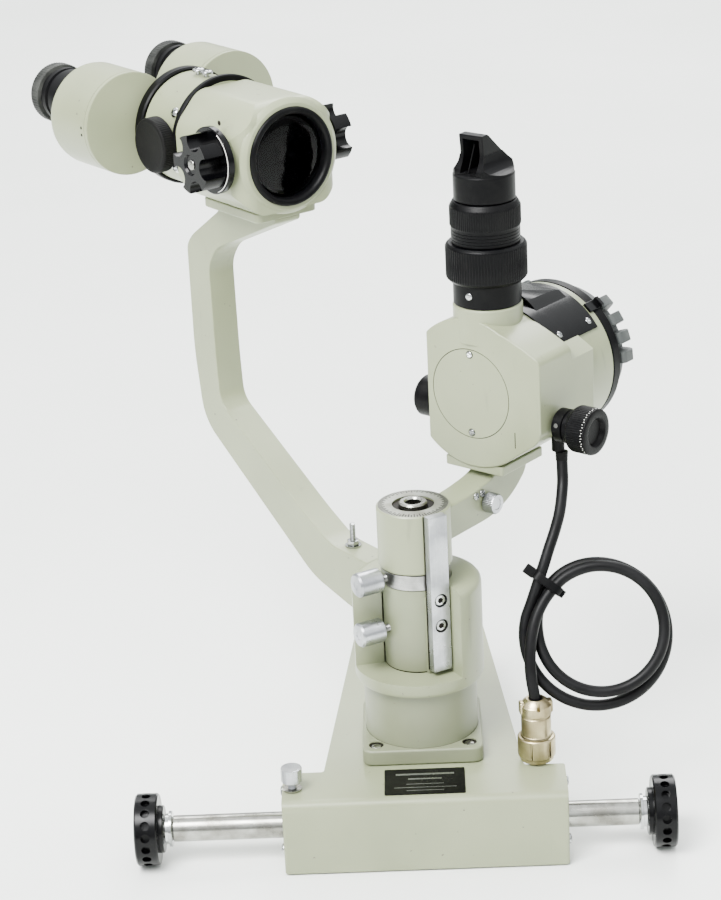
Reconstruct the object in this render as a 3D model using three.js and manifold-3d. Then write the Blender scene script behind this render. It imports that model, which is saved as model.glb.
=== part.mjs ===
// Slit lamp: a base that rolls along its axle, a rising pivot post, a microscope arm with a
// stereo microscope, and an illumination arm with a lamp unit and its hanging lead.
// Millimetres, +Z up, origin on the pivot axis at the level of the table.
import * as THREE from 'three';
import { mergeVertices } from 'three/addons/utils/BufferGeometryUtils.js';
import Module from 'manifold-3d';

const wasm = await Module();
wasm.setup();

// ---------------------------------------------------------------- driving dimensions
const GAP = 0.3; // left between pieces that touch or turn on each other
const FINENESS = 0.72; // share of the side counts given below that round pieces really get
const BASE = {
  halfWidth: 80, front: -75.5, boxBack: -38.5, back: 165, low: 1, top: 45, wall: 3,
  deckHalfFront: 57, deckHalfBack: 39, topFrontRadius: 6, columnHole: 24.8,
};
const GLIDE = { halfWidth: 34, front: -20, back: 158, height: 5 };
const FLANGE = { half: 34.5, radius: 7, low: 45.3, top: 54.7 };
const COLUMN = { radius: 32.4, top: 87.2, bore: 14.4, boss: 24, bossLow: 20 };
const AXLE = { y: -53.3, z: 20.5, tubeRadius: 7.5, bore: 5.3, rod: 5, left: -143.3, right: 120.6 };
const COLLAR = { radius: 10.2, width: 4 };
const WHEEL = { radius: 20.5, width: 13, boss: 13.5, bossWidth: 2.8, leftOuter: -164, rightOuter: 141 };
const BUSH = { radius: 11, bore: 7.8, length: 17 };
const BASE_LOCK = { x: -74.2, y: -58, stem: 2.4, low: 34, shoulder: 50.6, top: 59.2, radius: 6.1 };
const POST = { low: 22, lower: 14, step: 95.6, middle: 11, shoulder: 156.4, upper: 8, top: 193.6, socket: 4.5 };
const SCREW = { radius: 5, top: 76, pulley: 16, pulleyLow: 8, pulleyTop: 15 };
const STICK = { y: 125, pivotZ: 48, pulley: 10, tilt: 12, gripLow: 74, gripTop: 120 };
const HUB = { radius: 37, low: 87.6, top: 148.4, floor: 95.8, bore: 20.4 };
const SLEEVE = { radius: 19.5, low: 96.1, top: 146.4, bore: 11.4 };
const BAND = { radius: 20, low: 146.8, top: 155.8, bore: 13.4, sleeve: 13 };
const BAR = { azimuth: -7.4, half: 5.9, inner: 21.5, outer: 27, low: 98.6, top: 192.8 };
const KNOB = { azimuth: -97.4, stem: 2.3, stemStart: 14, headStart: 24, headEnd: 39, radius: 7 };
const LOCK_HEIGHT = { microscope: 120.5, illumination: 151.3 };
const MIC = { swing: 37.4, axisZ: 374.3, front: 98.3, headFront: 101, headBack: 164, half: 36 };
const ARM = { half: 9, columnOuter: 203, columnInner: 179.5 };
const TUBE = { radius: 33, ring: 35, ringFront: 203.4, end: 210.5, lockY: 180.5 };
const DRUM = { front: 211, back: 255, radius: 30.7, spacing: 36.4, rise: 6.7 };
const EYE = { spacing: 40.7, rise: 14.3, tube: 16.5, ring: 18, end: 288.2 };
const MAG = {
  y: 122.5, z: 375.6, shaft: 6, drum: 13.4, plate: 19.4, grip: 16.8, plateX: 36.4, leftEnd: 54, rightEnd: 48,
};
const LAMP = { swing: -38.3, axisZ: 239.8, front: 57, boxEnd: 111, end: 137, radius: 44.6 };
const SINK = { tip: 46.5, core: 38, front: 143.3, petalFront: 145.5, petalBack: 157, back: 160, flat: 197 };
const BARREL = { y: 75.9, bore: 11, inner: 15.5, base: 19.5, low: 290.7, shoulder: 303.8, top: 351 };
const UPPER = { radius: 21, low: 157, top: 192, recess: 12.6, recessDepth: 6 };
const GLAND = { x: 47.3, y: 75.2, bossLow: 209, bossTop: 220.5, boss: 4, radius: 3.9 };
const SLIT = { y: 72, z: 226.6, shaft: 3, knob: 13.5 };
const CORD = { radius: 3.3, loopX: 100.4, loopZ: 114.9, loopRadius: 38, loopBand: 5.8, loopDepth: 6.4,
  tieAngle: 47 };

// ---------------------------------------------------------------- finishes
const paint = () => new THREE.MeshStandardMaterial({ color: 0xc9ccb9, roughness: 0.45, metalness: 0 });
const black = () => new THREE.MeshStandardMaterial({ color: 0x17181a, roughness: 0.4, metalness: 0 });
const steel = () => new THREE.MeshStandardMaterial({ color: 0xc4c6c8, roughness: 0.2, metalness: 1 });
const aluminium = () => new THREE.MeshStandardMaterial({ color: 0xb9bcbf, roughness: 0.35, metalness: 1 });
const brass = () => new THREE.MeshStandardMaterial({ color: 0xb29c62, roughness: 0.35, metalness: 1 });
const nickel = () => new THREE.MeshStandardMaterial({ color: 0xa8a184, roughness: 0.3, metalness: 1 });
const rubber = () => new THREE.MeshStandardMaterial({ color: 0x101112, roughness: 0.6, metalness: 0 });
const glass = () => new THREE.MeshStandardMaterial({ color: 0xb8c8cc, roughness: 0.05, metalness: 0 });
const mirrorGlass = () => new THREE.MeshStandardMaterial({ color: 0xd8dcde, roughness: 0.05, metalness: 1 });
const sinkGrey = () => new THREE.MeshStandardMaterial({ color: 0x8b8f8d, roughness: 0.5, metalness: 0.6 });

// ---------------------------------------------------------------- solid helpers
function solid(geometry) {
  geometry.deleteAttribute('normal');
  geometry.deleteAttribute('uv');
  const welded = mergeVertices(geometry, 1e-4);
  const points = welded.attributes.position.array;
  const index = welded.index.array;
  const corners = [];
  let volume = 0;
  for (let i = 0; i < index.length; i += 3) {
    const [a, b, c] = [index[i], index[i + 1], index[i + 2]];
    if (a === b || b === c || c === a) continue;
    corners.push(a, b, c);
    const [pa, pb, pc] = [a, b, c].map((v) => new THREE.Vector3().fromArray(points, 3 * v));
    volume += pa.dot(pb.cross(pc));
  }
  if (volume < 0) corners.reverse();
  return new wasm.Manifold(new wasm.Mesh({
    numProp: 3, vertProperties: new Float32Array(points), triVerts: new Uint32Array(corners),
  }));
}

const TURN_TO = {
  x: new THREE.Matrix4().makeRotationZ(-Math.PI / 2),
  y: new THREE.Matrix4(),
  z: new THREE.Matrix4().makeRotationX(Math.PI / 2),
};

// Turned piece: profile of [radius, distance along the axis], through a centre point.
function turned(profile, axis = 'z', centre = [0, 0, 0], segments = 36) {
  const points = profile.map(([r, d]) => new THREE.Vector2(r, d));
  const first = points[0];
  const last = points[points.length - 1];
  if (first.x > 0 || last.x > 0) points.push(first.clone());
  const sides = Math.max(8, Math.round(segments * FINENESS));
  const geometry = new THREE.LatheGeometry(points, sides);
  geometry.applyMatrix4(TURN_TO[axis]);
  geometry.translate(...centre);
  return solid(geometry);
}

function rod(radius, from, to, axis = 'z', centre = [0, 0, 0], segments = 24) {
  return turned([[0, from], [radius, from], [radius, to], [0, to]], axis, centre, segments);
}

function pipe(outer, inner, from, to, axis = 'z', centre = [0, 0, 0], segments = 36) {
  return turned([[inner, from], [outer, from], [outer, to], [inner, to]], axis, centre, segments);
}

function box([x0, x1], [y0, y1], [z0, z1]) {
  const geometry = new THREE.BoxGeometry(x1 - x0, y1 - y0, z1 - z0);
  geometry.translate((x0 + x1) / 2, (y0 + y1) / 2, (z0 + z1) / 2);
  return solid(geometry);
}

const PLANES = {
  xy: new THREE.Matrix4(),
  yz: new THREE.Matrix4().makeBasis(
    new THREE.Vector3(0, 1, 0), new THREE.Vector3(0, 0, 1), new THREE.Vector3(1, 0, 0)),
  xz: new THREE.Matrix4().makeBasis(
    new THREE.Vector3(1, 0, 0), new THREE.Vector3(0, 0, 1), new THREE.Vector3(0, -1, 0)),
};

// Outline in one plane, carried along that plane's normal from one distance to another.
function prism(outline, plane, from, to, curveSegments = 6) {
  const shape = outline instanceof THREE.Shape ? outline
    : new THREE.Shape(outline.map(([u, v]) => new THREE.Vector2(u, v)));
  const geometry = new THREE.ExtrudeGeometry(shape, {
    depth: to - from, bevelEnabled: false, curveSegments,
  });
  const start = plane === 'xz' ? -to : from;
  geometry.translate(0, 0, start);
  geometry.applyMatrix4(PLANES[plane]);
  return solid(geometry);
}

// Outline with every corner rounded by its own radius: points are [u, v, radius].
function rounded(points) {
  const shape = new THREE.Shape();
  const count = points.length;
  points.forEach(([u, v, radius = 0], i) => {
    const corner = new THREE.Vector2(u, v);
    const before = new THREE.Vector2(...points[(i + count - 1) % count]).sub(corner);
    const after = new THREE.Vector2(...points[(i + 1) % count]).sub(corner);
    const cut = Math.min(radius, 0.45 * before.length(), 0.45 * after.length());
    const enter = corner.clone().add(before.setLength(cut));
    const leave = corner.clone().add(after.setLength(cut));
    if (i === 0) shape.moveTo(enter.x, enter.y);
    else shape.lineTo(enter.x, enter.y);
    if (radius > 0) shape.quadraticCurveTo(corner.x, corner.y, leave.x, leave.y);
  });
  shape.closePath();
  return shape;
}

// Scalloped disc outline, with a round hollow between each two lobes.
function lobed(radius, lobes, hollowRadius, hollowDistance) {
  let disc = rod(radius, 0, 1, 'z', [0, 0, 0], 40);
  for (let i = 0; i < lobes; i += 1) {
    const angle = (2 * Math.PI * (i + 0.5)) / lobes;
    const centre = [hollowDistance * Math.cos(angle), hollowDistance * Math.sin(angle), 0];
    disc = disc.subtract(rod(hollowRadius, -1, 2, 'z', centre, 16));
  }
  return disc;
}

function mesh(name, shape, material) {
  const data = shape.getMesh();
  const geometry = new THREE.BufferGeometry();
  geometry.setAttribute('position', new THREE.BufferAttribute(new Float32Array(data.vertProperties), 3));
  geometry.setIndex(new THREE.BufferAttribute(new Uint32Array(data.triVerts), 1));
  geometry.computeVertexNormals();
  const part = new THREE.Mesh(geometry, material);
  part.name = name;
  return part;
}

// Unit directions of an azimuth measured from -Y towards +X.
function bearing(degrees) {
  const angle = THREE.MathUtils.degToRad(degrees);
  return { out: [Math.sin(angle), -Math.cos(angle)], side: [Math.cos(angle), Math.sin(angle)] };
}

// Turned piece whose axis is level and points along an azimuth, at height z.
function radial(profile, azimuth, z, segments = 24) {
  const piece = turned(profile, 'y', [0, 0, 0], segments);
  return piece.rotate([0, 0, azimuth + 180]).translate([0, 0, z]);
}

// ---------------------------------------------------------------- base
function deckHalfWidth(y, inset = 0) {
  const share = (y - BASE.boxBack) / (BASE.back - BASE.boxBack);
  return BASE.deckHalfFront + share * (BASE.deckHalfBack - BASE.deckHalfFront) - inset;
}

function basePlan(inset) {
  const side = BASE.halfWidth - inset;
  const front = BASE.front + inset;
  const boxBack = BASE.boxBack - inset;
  const back = BASE.back - inset;
  const corner = 4;
  const near = deckHalfWidth(boxBack, inset);
  const far = deckHalfWidth(back, inset);
  return rounded([
    [-side, front, corner], [side, front, corner], [side, boxBack, corner], [near, boxBack, 2],
    [far, back, 8], [-far, back, 8], [-near, boxBack, 2], [-side, boxBack, corner],
  ]);
}

function baseCover() {
  const section = rounded([
    [BASE.front, BASE.low, 0], [BASE.back, BASE.low, 0], [BASE.back, BASE.top, 4],
    [BASE.front, BASE.top, BASE.topFrontRadius],
  ]);
  return prism(basePlan(0), 'xy', BASE.low, BASE.top, 3)
    .intersect(prism(section, 'yz', -BASE.halfWidth, BASE.halfWidth, 4))
    .subtract(prism(basePlan(BASE.wall), 'xy', -1, BASE.top - BASE.wall - 1, 3))
    .subtract(rod(BUSH.radius + GAP, -90, 90, 'x', [0, AXLE.y, AXLE.z]))
    .subtract(rod(BASE.columnHole, 0, 60, 'z', [0, 0, 0], 32))
    .subtract(rod(11.4, 0, 60, 'z', [0, STICK.y, 0]))
    .subtract(rod(BASE_LOCK.stem + GAP, 30, 60, 'z', [BASE_LOCK.x, BASE_LOCK.y, 0], 16));
}

function glidePlate() {
  return prism(rounded([
    [-GLIDE.halfWidth, GLIDE.front, 6], [GLIDE.halfWidth, GLIDE.front, 6],
    [GLIDE.halfWidth, GLIDE.back, 6], [-GLIDE.halfWidth, GLIDE.back, 6],
  ]), 'xy', 0, GLIDE.height, 3);
}

function columnSleeve() {
  const half = FLANGE.half;
  const flange = prism(rounded([
    [-half, -half, FLANGE.radius], [half, -half, FLANGE.radius],
    [half, half, FLANGE.radius], [-half, half, FLANGE.radius],
  ]), 'xy', FLANGE.low, FLANGE.top, 4);
  const column = rod(COLUMN.radius, FLANGE.low, COLUMN.top, 'z', [0, 0, 0], 44);
  const boss = rod(COLUMN.boss, COLUMN.bossLow, FLANGE.low + 1, 'z', [0, 0, 0], 32);
  return flange.add(column).add(boss).subtract(rod(COLUMN.bore, 0, 100, 'z', [0, 0, 0], 32));
}

function axleBush(side) {
  const outer = side * (BASE.halfWidth - 0.5);
  const inner = outer - side * BUSH.length;
  const [from, to] = [Math.min(outer, inner), Math.max(outer, inner)];
  return pipe(BUSH.radius, BUSH.bore, from, to, 'x', [0, AXLE.y, AXLE.z], 28);
}

// Flat belt round the two pulleys that carry the stick's turn to the lifting screw.
function driveBelt() {
  const loop = (extra) => {
    const screw = SCREW.pulley + extra;
    const stick = STICK.pulley + extra;
    const lean = Math.asin((screw - stick) / STICK.y);
    const shape = new THREE.Shape();
    shape.absarc(0, 0, screw, Math.PI - lean, 2 * Math.PI + lean, false);
    shape.absarc(0, STICK.y, stick, lean, Math.PI - lean, false);
    return prism(shape, 'xy', SCREW.pulleyLow + 1, SCREW.pulleyTop - 1, 14);
  };
  return loop(GAP + 1.8).subtract(loop(GAP));
}

function baseLockScrew() {
  const { stem, low, shoulder, top, radius } = BASE_LOCK;
  return turned([
    [0, low], [stem, low], [stem, shoulder], [radius, shoulder], [radius, top - 0.8],
    [radius - 0.8, top], [0, top],
  ], 'z', [BASE_LOCK.x, BASE_LOCK.y, 0], 24);
}

// ---------------------------------------------------------------- axle and wheels
const axlePoint = [0, AXLE.y, AXLE.z];

function wheel(side) {
  const outer = side < 0 ? -WHEEL.leftOuter : WHEEL.rightOuter;
  const inner = outer - WHEEL.width;
  const profile = [
    [AXLE.rod + GAP, inner - WHEEL.bossWidth], [WHEEL.boss, inner - WHEEL.bossWidth], [WHEEL.boss, inner],
    [WHEEL.radius - 1, inner], [WHEEL.radius, inner + 1], [WHEEL.radius, outer - 1],
    [WHEEL.radius - 1, outer], [WHEEL.radius - 5, outer], [WHEEL.radius - 6, outer - 3],
    [AXLE.rod + GAP, outer - 3],
  ];
  return turned(profile.map(([r, d]) => [r, side * d]), 'x', axlePoint, 44);
}

// ---------------------------------------------------------------- lifting post and its drive
function pivotPost() {
  const { low, lower, step, middle, shoulder, upper, top, socket } = POST;
  const socketFloor = top - 14;
  const screwBore = SCREW.radius + GAP;
  return turned([
    [0, 84], [screwBore, 84], [screwBore, low], [lower, low], [lower, step], [middle, step],
    [middle, shoulder], [upper, shoulder], [upper, top - 0.6], [upper - 0.6, top], [socket, top],
    [socket, socketFloor], [0, socketFloor],
  ], 'z', [0, 0, 0], 28);
}

function leadScrew() {
  const { radius, top, pulley, pulleyLow, pulleyTop } = SCREW;
  const foot = GLIDE.height + GAP;
  return turned([
    [0, foot], [6, foot], [6, pulleyLow], [pulley, pulleyLow], [pulley, pulleyTop], [8, pulleyTop],
    [8, 18], [radius, 18], [radius, top], [0, top],
  ], 'z', [0, 0, 0], 28);
}

// ---------------------------------------------------------------- joystick
const stickPoint = [0, STICK.y, 0];

function joystickPulley() {
  return turned([
    [0, GLIDE.height + GAP], [4, GLIDE.height + GAP], [4, SCREW.pulleyLow],
    [STICK.pulley, SCREW.pulleyLow], [STICK.pulley, SCREW.pulleyTop], [4, SCREW.pulleyTop],
    [4, 30], [0, 30],
  ], 'z', stickPoint, 24);
}

function joystickSocket() {
  return turned([
    [11, BASE.top + GAP], [17, BASE.top + GAP], [17, 49], [14.5, 52], [11, 52],
  ], 'z', stickPoint, 32);
}

function joystickGimbal() {
  return pipe(9.5, 6.2, STICK.pivotZ - 3, STICK.pivotZ + 3, 'z', stickPoint, 28);
}

// Lever with a dome that covers the socket while it tilts.
function joystickLever() {
  const dome = (radius, degrees) => {
    const angle = THREE.MathUtils.degToRad(degrees);
    return [radius * Math.sin(angle), STICK.pivotZ + radius * Math.cos(angle)];
  };
  const profile = [[0, 38], [4, 38], [4, STICK.pivotZ + 16]];
  for (const angle of [20, 35, 50, 62]) profile.push(dome(18.6, angle));
  for (const angle of [62, 50, 35, 20]) profile.push(dome(20.4, angle));
  profile.push([5.5, STICK.pivotZ + 20.4], [5.5, 73], [4, 73], [4, 108], [0, 108]);
  return turned(profile, 'z', stickPoint, 28);
}

function joystickGrip() {
  const bore = 4.3;
  const { gripLow: low, gripTop: top } = STICK;
  return turned([
    [bore, low], [9, low], [10.5, low + 3], [8.6, low + 11], [8.8, low + 24], [11.4, low + 34],
    [11.8, top - 6], [9, top - 1], [5, top], [0, top], [0, 110], [bore, 110],
  ], 'z', stickPoint, 28);
}

// ---------------------------------------------------------------- microscope arm (its own frame)
function hubWindow() {
  const left = bearing(KNOB.azimuth - 20).out;
  const bar = bearing(BAR.azimuth);
  const sideStep = BAR.half + 1;
  const at = (out, side) => [
    out * bar.out[0] + side * bar.side[0], out * bar.out[1] + side * bar.side[1],
  ];
  const reach = 80;
  return prism([
    [0, 0], [reach * left[0], reach * left[1]], [-reach, -reach], at(reach, sideStep), at(0, sideStep),
  ], 'xy', HUB.floor, HUB.top + 10);
}

function microscopeArm() {
  const { radius, low, top } = HUB;
  const hub = turned([
    [0, low], [radius - 2.5, low], [radius, low + 2.5], [radius, top - 4], [radius - 1.4, top - 1.2],
    [radius - 5, top], [0, top],
  ], 'z', [0, 0, 0], 48);
  const { columnOuter, columnInner } = ARM;
  const side = rounded([
    [20, 113, 0], [51, 113, 8], [64, 116, 8], [89, 121.5, 10], [columnOuter - 6, 192, 14],
    [columnOuter, 236, 12], [columnOuter, 303, 5], [columnOuter - 6, 310, 5], [166, 331, 6],
    [163, 337.6, 0], [107, 337.6, 2], [108, 334.5, 2], [columnInner - 8, 307, 8],
    [columnInner + 1, 294, 6], [columnInner, 236, 12], [columnInner - 2, 208, 8], [95, 160, 10],
    [70, 147.6, 8], [20, 146.6, 0],
  ]);
  const arm = prism(side, 'yz', -ARM.half, ARM.half, 3);
  const platform = prism(rounded([
    [-21, 107, 5], [21, 107, 5], [21, 163, 5], [-21, 163, 5],
  ]), 'xy', 337.2, 343, 3);
  return hub.add(arm).add(platform)
    .subtract(rod(POST.lower + GAP, 80, HUB.floor + 1, 'z', [0, 0, 0], 28))
    .subtract(rod(HUB.bore, HUB.floor, 160, 'z', [0, 0, 0], 40))
    .subtract(hubWindow());
}

function lowerSleeve() {
  const pad = box([-BAR.half, BAR.half], [-BAR.inner + 0.35, -SLEEVE.bore - 2], [SLEEVE.low, SLEEVE.top - 4])
    .rotate([0, 0, BAR.azimuth]);
  return pipe(SLEEVE.radius, SLEEVE.bore, SLEEVE.low, SLEEVE.top, 'z', [0, 0, 0], 40).add(pad)
    .subtract(rod(SLEEVE.bore, 90, 160, 'z', [0, 0, 0], 40))
    .subtract(knobHole(LOCK_HEIGHT.microscope));
}

function clampBand() {
  return pipe(BAND.radius, BAND.bore, BAND.low, BAND.top, 'z', [0, 0, 0], 40)
    .subtract(knobHole(LOCK_HEIGHT.illumination));
}

function knobHole(z) {
  const bore = KNOB.stem + GAP;
  return radial([[0, 12.5], [bore, 12.5], [bore, 24], [0, 24]], KNOB.azimuth, z, 16);
}

function indexBar() {
  return box([-BAR.half, BAR.half], [-BAR.outer, -BAR.inner], [BAR.low, BAR.top])
    .rotate([0, 0, BAR.azimuth]);
}

function lockKnob(z) {
  const { stem, stemStart, headStart, headEnd, radius } = KNOB;
  return radial([
    [0, stemStart], [stem, stemStart], [stem, headStart], [radius - 0.5, headStart],
    [radius, headStart + 0.5], [radius, headEnd - 0.7], [radius - 0.7, headEnd], [0, headEnd],
  ], KNOB.azimuth, z, 24);
}

// ---------------------------------------------------------------- microscope (same frame)
const opticalAxis = [0, 0, MIC.axisZ];

function microscopeHead() {
  const { half, headFront, headBack, axisZ } = MIC;
  const low = 343.3;
  const high = axisZ + 32;
  const front = rounded([
    [-22, low, 4], [22, low, 4], [half, low + 12, 8], [half, high - 13, 7], [24, high, 6],
    [-24, high, 6], [-half, high - 13, 7], [-half, low + 12, 8],
  ]);
  const plan = rounded([
    [-30, headFront, 6], [30, headFront, 6], [half, headFront + 14, 8], [half, headBack, 2],
    [-half, headBack, 2], [-half, headFront + 14, 8],
  ]);
  const side = rounded([
    [headFront, low, 0], [headBack, low, 0], [headBack, high, 2], [headFront + 8, high, 6],
    [headFront, high - 6, 6],
  ]);
  return prism(front, 'xz', headFront, headBack, 4)
    .intersect(prism(plan, 'xy', low - 1, high + 1, 4))
    .intersect(prism(side, 'yz', -half - 1, half + 1, 4))
    .subtract(rod(26.5, headFront - 1, headBack + 1, 'y', opticalAxis, 36))
    .subtract(rod(MAG.shaft + GAP, -50, 50, 'x', [0, MAG.y, MAG.z], 20));
}

function objectiveBezel() {
  const { front, headFront } = MIC;
  return turned([
    [25, front + 0.4], [26.4, front], [28.4, front + 0.8], [28.6, headFront - GAP],
    [26.2, headFront - GAP], [26.2, 106.6], [24, 106.6], [24, front + 2.4],
  ], 'y', opticalAxis, 44);
}

function objectiveLens() {
  return turned([[0, 101.6], [12, 102.2], [23.7, 103.8], [23.7, 106.4], [0, 106.4]], 'y', opticalAxis, 36);
}

function magnificationDrum() {
  const shaft = rod(MAG.shaft, -MAG.plateX + 1, MAG.plateX - 1, 'x', [0, MAG.y, MAG.z], 20);
  const drum = rod(MAG.drum, -20, 20, 'x', [0, MAG.y, MAG.z], 32);
  const bores = [-10.5, 10.5].map((x) => rod(7.5, 90, 160, 'y', [x, 0, MAG.z], 18));
  const ends = shaft.subtract(box([-19, 19], [90, 160], [340, 410]));
  return drum.subtract(bores[0]).subtract(bores[1]).add(ends);
}

function magnificationKnob(side) {
  const plate = rod(MAG.plate, MAG.plateX, MAG.plateX + 4, 'z', [0, 0, 0], 40);
  const start = MAG.plateX + (side < 0 ? 3.5 : 0);
  const end = side < 0 ? MAG.leftEnd : MAG.rightEnd;
  const grip = lobed(MAG.grip, 5, 6.2, 15.5).rotate([0, 0, -54])
    .scale([1, 1, end - start]).translate([0, 0, start]);
  return (side < 0 ? plate.add(grip) : grip).rotate([0, side * 90, 0]).translate([0, MAG.y, MAG.z]);
}

function binocularTube() {
  const body = pipe(TUBE.radius, 27, MIC.headBack + GAP, TUBE.ringFront - GAP, 'y', opticalAxis, 44);
  return body.subtract(rod(2.9, -40, -20, 'x', [0, TUBE.lockY, MIC.axisZ], 14));
}

function rearRing() {
  return turned([
    [27, TUBE.ringFront], [TUBE.ring, TUBE.ringFront], [TUBE.ring, TUBE.end], [27, TUBE.end],
  ], 'y', opticalAxis, 44);
}

function tubeLockKnob() {
  return turned([
    [0, 27.5], [2.6, 27.5], [2.6, 33.5], [8, 33.5], [8, 35.5], [15.9, 35.5], [16.3, 36.2], [16.3, 42.6],
    [15, 44], [0, 43.2],
  ].map(([r, d]) => [r, -d]), 'x', [0, TUBE.lockY, MIC.axisZ], 32);
}

function drumCentre(side) {
  return [side * DRUM.spacing, 0, MIC.axisZ + DRUM.rise];
}

function prismHousing(side) {
  const body = turned([
    [0, DRUM.front], [DRUM.radius, DRUM.front], [DRUM.radius, DRUM.back - 5],
    [DRUM.radius - 1.5, DRUM.back - 1.5], [DRUM.radius - 5, DRUM.back], [0, DRUM.back],
  ], 'y', drumCentre(side), 40);
  const eye = [side * EYE.spacing, 0, MIC.axisZ + EYE.rise];
  return body
    .subtract(rod(24, DRUM.front + 3, DRUM.back - 4, 'y', drumCentre(side), 32))
    .subtract(rod(EYE.tube - 2, DRUM.back - 8, DRUM.back + 1, 'y', eye, 24));
}

function eyepiece(side) {
  const centre = [side * EYE.spacing, 0, MIC.axisZ + EYE.rise];
  const start = DRUM.back + GAP;
  return turned([
    [11.5, start], [EYE.tube, start], [EYE.tube, EYE.end - 8], [EYE.tube - 3, EYE.end - 8],
    [EYE.tube - 3, EYE.end - 2], [11.5, EYE.end - 2],
  ], 'y', centre, 32);
}

function dioptreRing(side) {
  const centre = [side * EYE.spacing, 0, MIC.axisZ + EYE.rise];
  const start = EYE.end - 8 + GAP;
  const bore = EYE.tube - 3 + GAP;
  return turned([
    [bore, start], [EYE.ring, start], [EYE.ring, EYE.end], [EYE.ring - 3, EYE.end + 1.6],
    [11, EYE.end + 1.6], [11, EYE.end - 1.7], [bore, EYE.end - 1.7],
  ], 'y', centre, 32);
}

// ---------------------------------------------------------------- illumination arm (its own frame)
function lampArm() {
  const { radius, low, top, recess, recessDepth } = UPPER;
  const cylinder = turned([
    [POST.upper + GAP, low], [SLEEVE.bore, low], [SLEEVE.bore, BAND.low], [BAND.sleeve, BAND.low],
    [BAND.sleeve, low - 0.6], [radius - 0.6, low - 0.6], [radius, low], [radius, top - 0.8],
    [radius - 0.8, top], [recess, top], [recess, top - recessDepth], [POST.upper + GAP, top - recessDepth],
  ], 'z', [0, 0, 0], 44);
  const side = rounded([
    [10, 163.5, 0], [64, 164, 10], [84, 171.5, 10], [97, 182, 8], [99, 193, 0], [75, 193, 6],
    [61, 187.4, 8], [41, 184.8, 8], [10, 184, 0],
  ]);
  const arm = prism(side, 'yz', -ARM.half, ARM.half, 3).subtract(rod(radius - 3, 150, 200, 'z', [0, 0, 0], 36));
  const foot = prism(rounded([
    [-21, 58, 3], [20, 58, 3], [20, 99, 3], [-21, 99, 3],
  ]), 'xy', 192.4, 198, 3).subtract(rod(LAMP.radius + GAP, 40, 120, 'y', [0, 0, LAMP.axisZ], 60));
  return cylinder.add(arm).add(foot);
}

function lampHousing() {
  const { axisZ, front, boxEnd, end, radius } = LAMP;
  const left = -31;
  const right = 48.3;
  const outline = new THREE.Shape();
  const leftAngle = Math.acos(left / radius);
  outline.absarc(0, axisZ, radius, leftAngle, THREE.MathUtils.degToRad(62), true);
  outline.quadraticCurveTo(30, axisZ + 37, right - 5, axisZ + 30);
  outline.quadraticCurveTo(right, axisZ + 28, right, axisZ + 24);
  outline.lineTo(right, axisZ - 14);
  outline.quadraticCurveTo(right, axisZ - 19, right - 5, axisZ - 24);
  outline.lineTo(radius * Math.cos(0.86), axisZ - radius * Math.sin(0.86));
  outline.absarc(0, axisZ, radius, -0.86, -leftAngle, true);
  const shell = prism(outline, 'xz', front, boxEnd, 11)
    .add(rod(radius, boxEnd - 2, end, 'y', [0, 0, axisZ], 56)
      .subtract(box([-60, left], [0, boxEnd - 6], [150, 320])));
  const neck = rod(20, axisZ + 30, BARREL.low - GAP, 'z', [0, BARREL.y, 0], 36);
  // Behind the front plate the upper right corner steps in to the round drum.
  const step = box([20, 60], [95.6, boxEnd + 1], [axisZ + 25.6, axisZ + 60])
    .subtract(rod(radius, 90, 130, 'y', [0, 0, axisZ], 56));
  return shell.subtract(step).add(neck)
    .subtract(rod(38, front + 4, end + 1, 'y', [0, 0, axisZ], 44)
      .subtract(box([-60, left + 4], [0, boxEnd], [150, 320])))
    .subtract(rod(14, axisZ, 300, 'z', [0, BARREL.y, 0], 28))
    .subtract(rod(SLIT.shaft + GAP, -60, 60, 'x', [0, SLIT.y, SLIT.z], 16))
    .add(rod(GLAND.boss, GLAND.bossLow, GLAND.bossTop, 'z', [GLAND.x, GLAND.y, 0], 20))
    .subtract(rod(2.6, 200, GLAND.bossLow + 5, 'z', [GLAND.x, GLAND.y, 0], 12));
}

function slitKnobRight() {
  return turned([
    [0, -37], [SLIT.shaft, -37], [SLIT.shaft, 49], [4.6, 49], [4.6, 51.6], [9.8, 51.6], [9.8, 61.5],
    [SLIT.knob - 0.8, 63], [SLIT.knob, 64], [SLIT.knob, 74.8], [SLIT.knob - 1.5, 76.2],
    [8, 76.2], [7, 73.5], [0, 73.5],
  ], 'x', [0, SLIT.y, SLIT.z], 32);
}

function slitKnobLeft() {
  return turned([
    [0, 37.4], [0, 45], [10.8, 45], [12.2, 43.6], [12.2, 33], [SLIT.shaft + GAP, 33],
    [SLIT.shaft + GAP, 37.4],
  ].map(([r, d]) => [r, -d]), 'x', [0, SLIT.y, SLIT.z], 28);
}

const barrelPoint = [0, BARREL.y, 0];

function barrelTube() {
  const { bore, inner, base, low, shoulder, top } = BARREL;
  return turned([
    [bore, low], [base, low], [base, shoulder], [inner, shoulder], [inner, top], [bore, top],
  ], 'z', barrelPoint, 40);
}

function apertureRing() {
  const bore = BARREL.inner + GAP;
  return turned([
    [bore, 304.2], [21.4, 304.2], [23.3, 306.3], [23.3, 324.7], [21.6, 326.2], [bore, 326.2],
  ], 'z', barrelPoint, 44);
}

function filterRing() {
  const bore = BARREL.inner + GAP;
  return turned([
    [bore, 326.6], [19.7, 326.6], [19.7, 335.8], [20.3, 336.5], [20.3, 347.8], [18.2, 350.8],
    [bore, 350.8],
  ], 'z', barrelPoint, 44);
}

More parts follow.
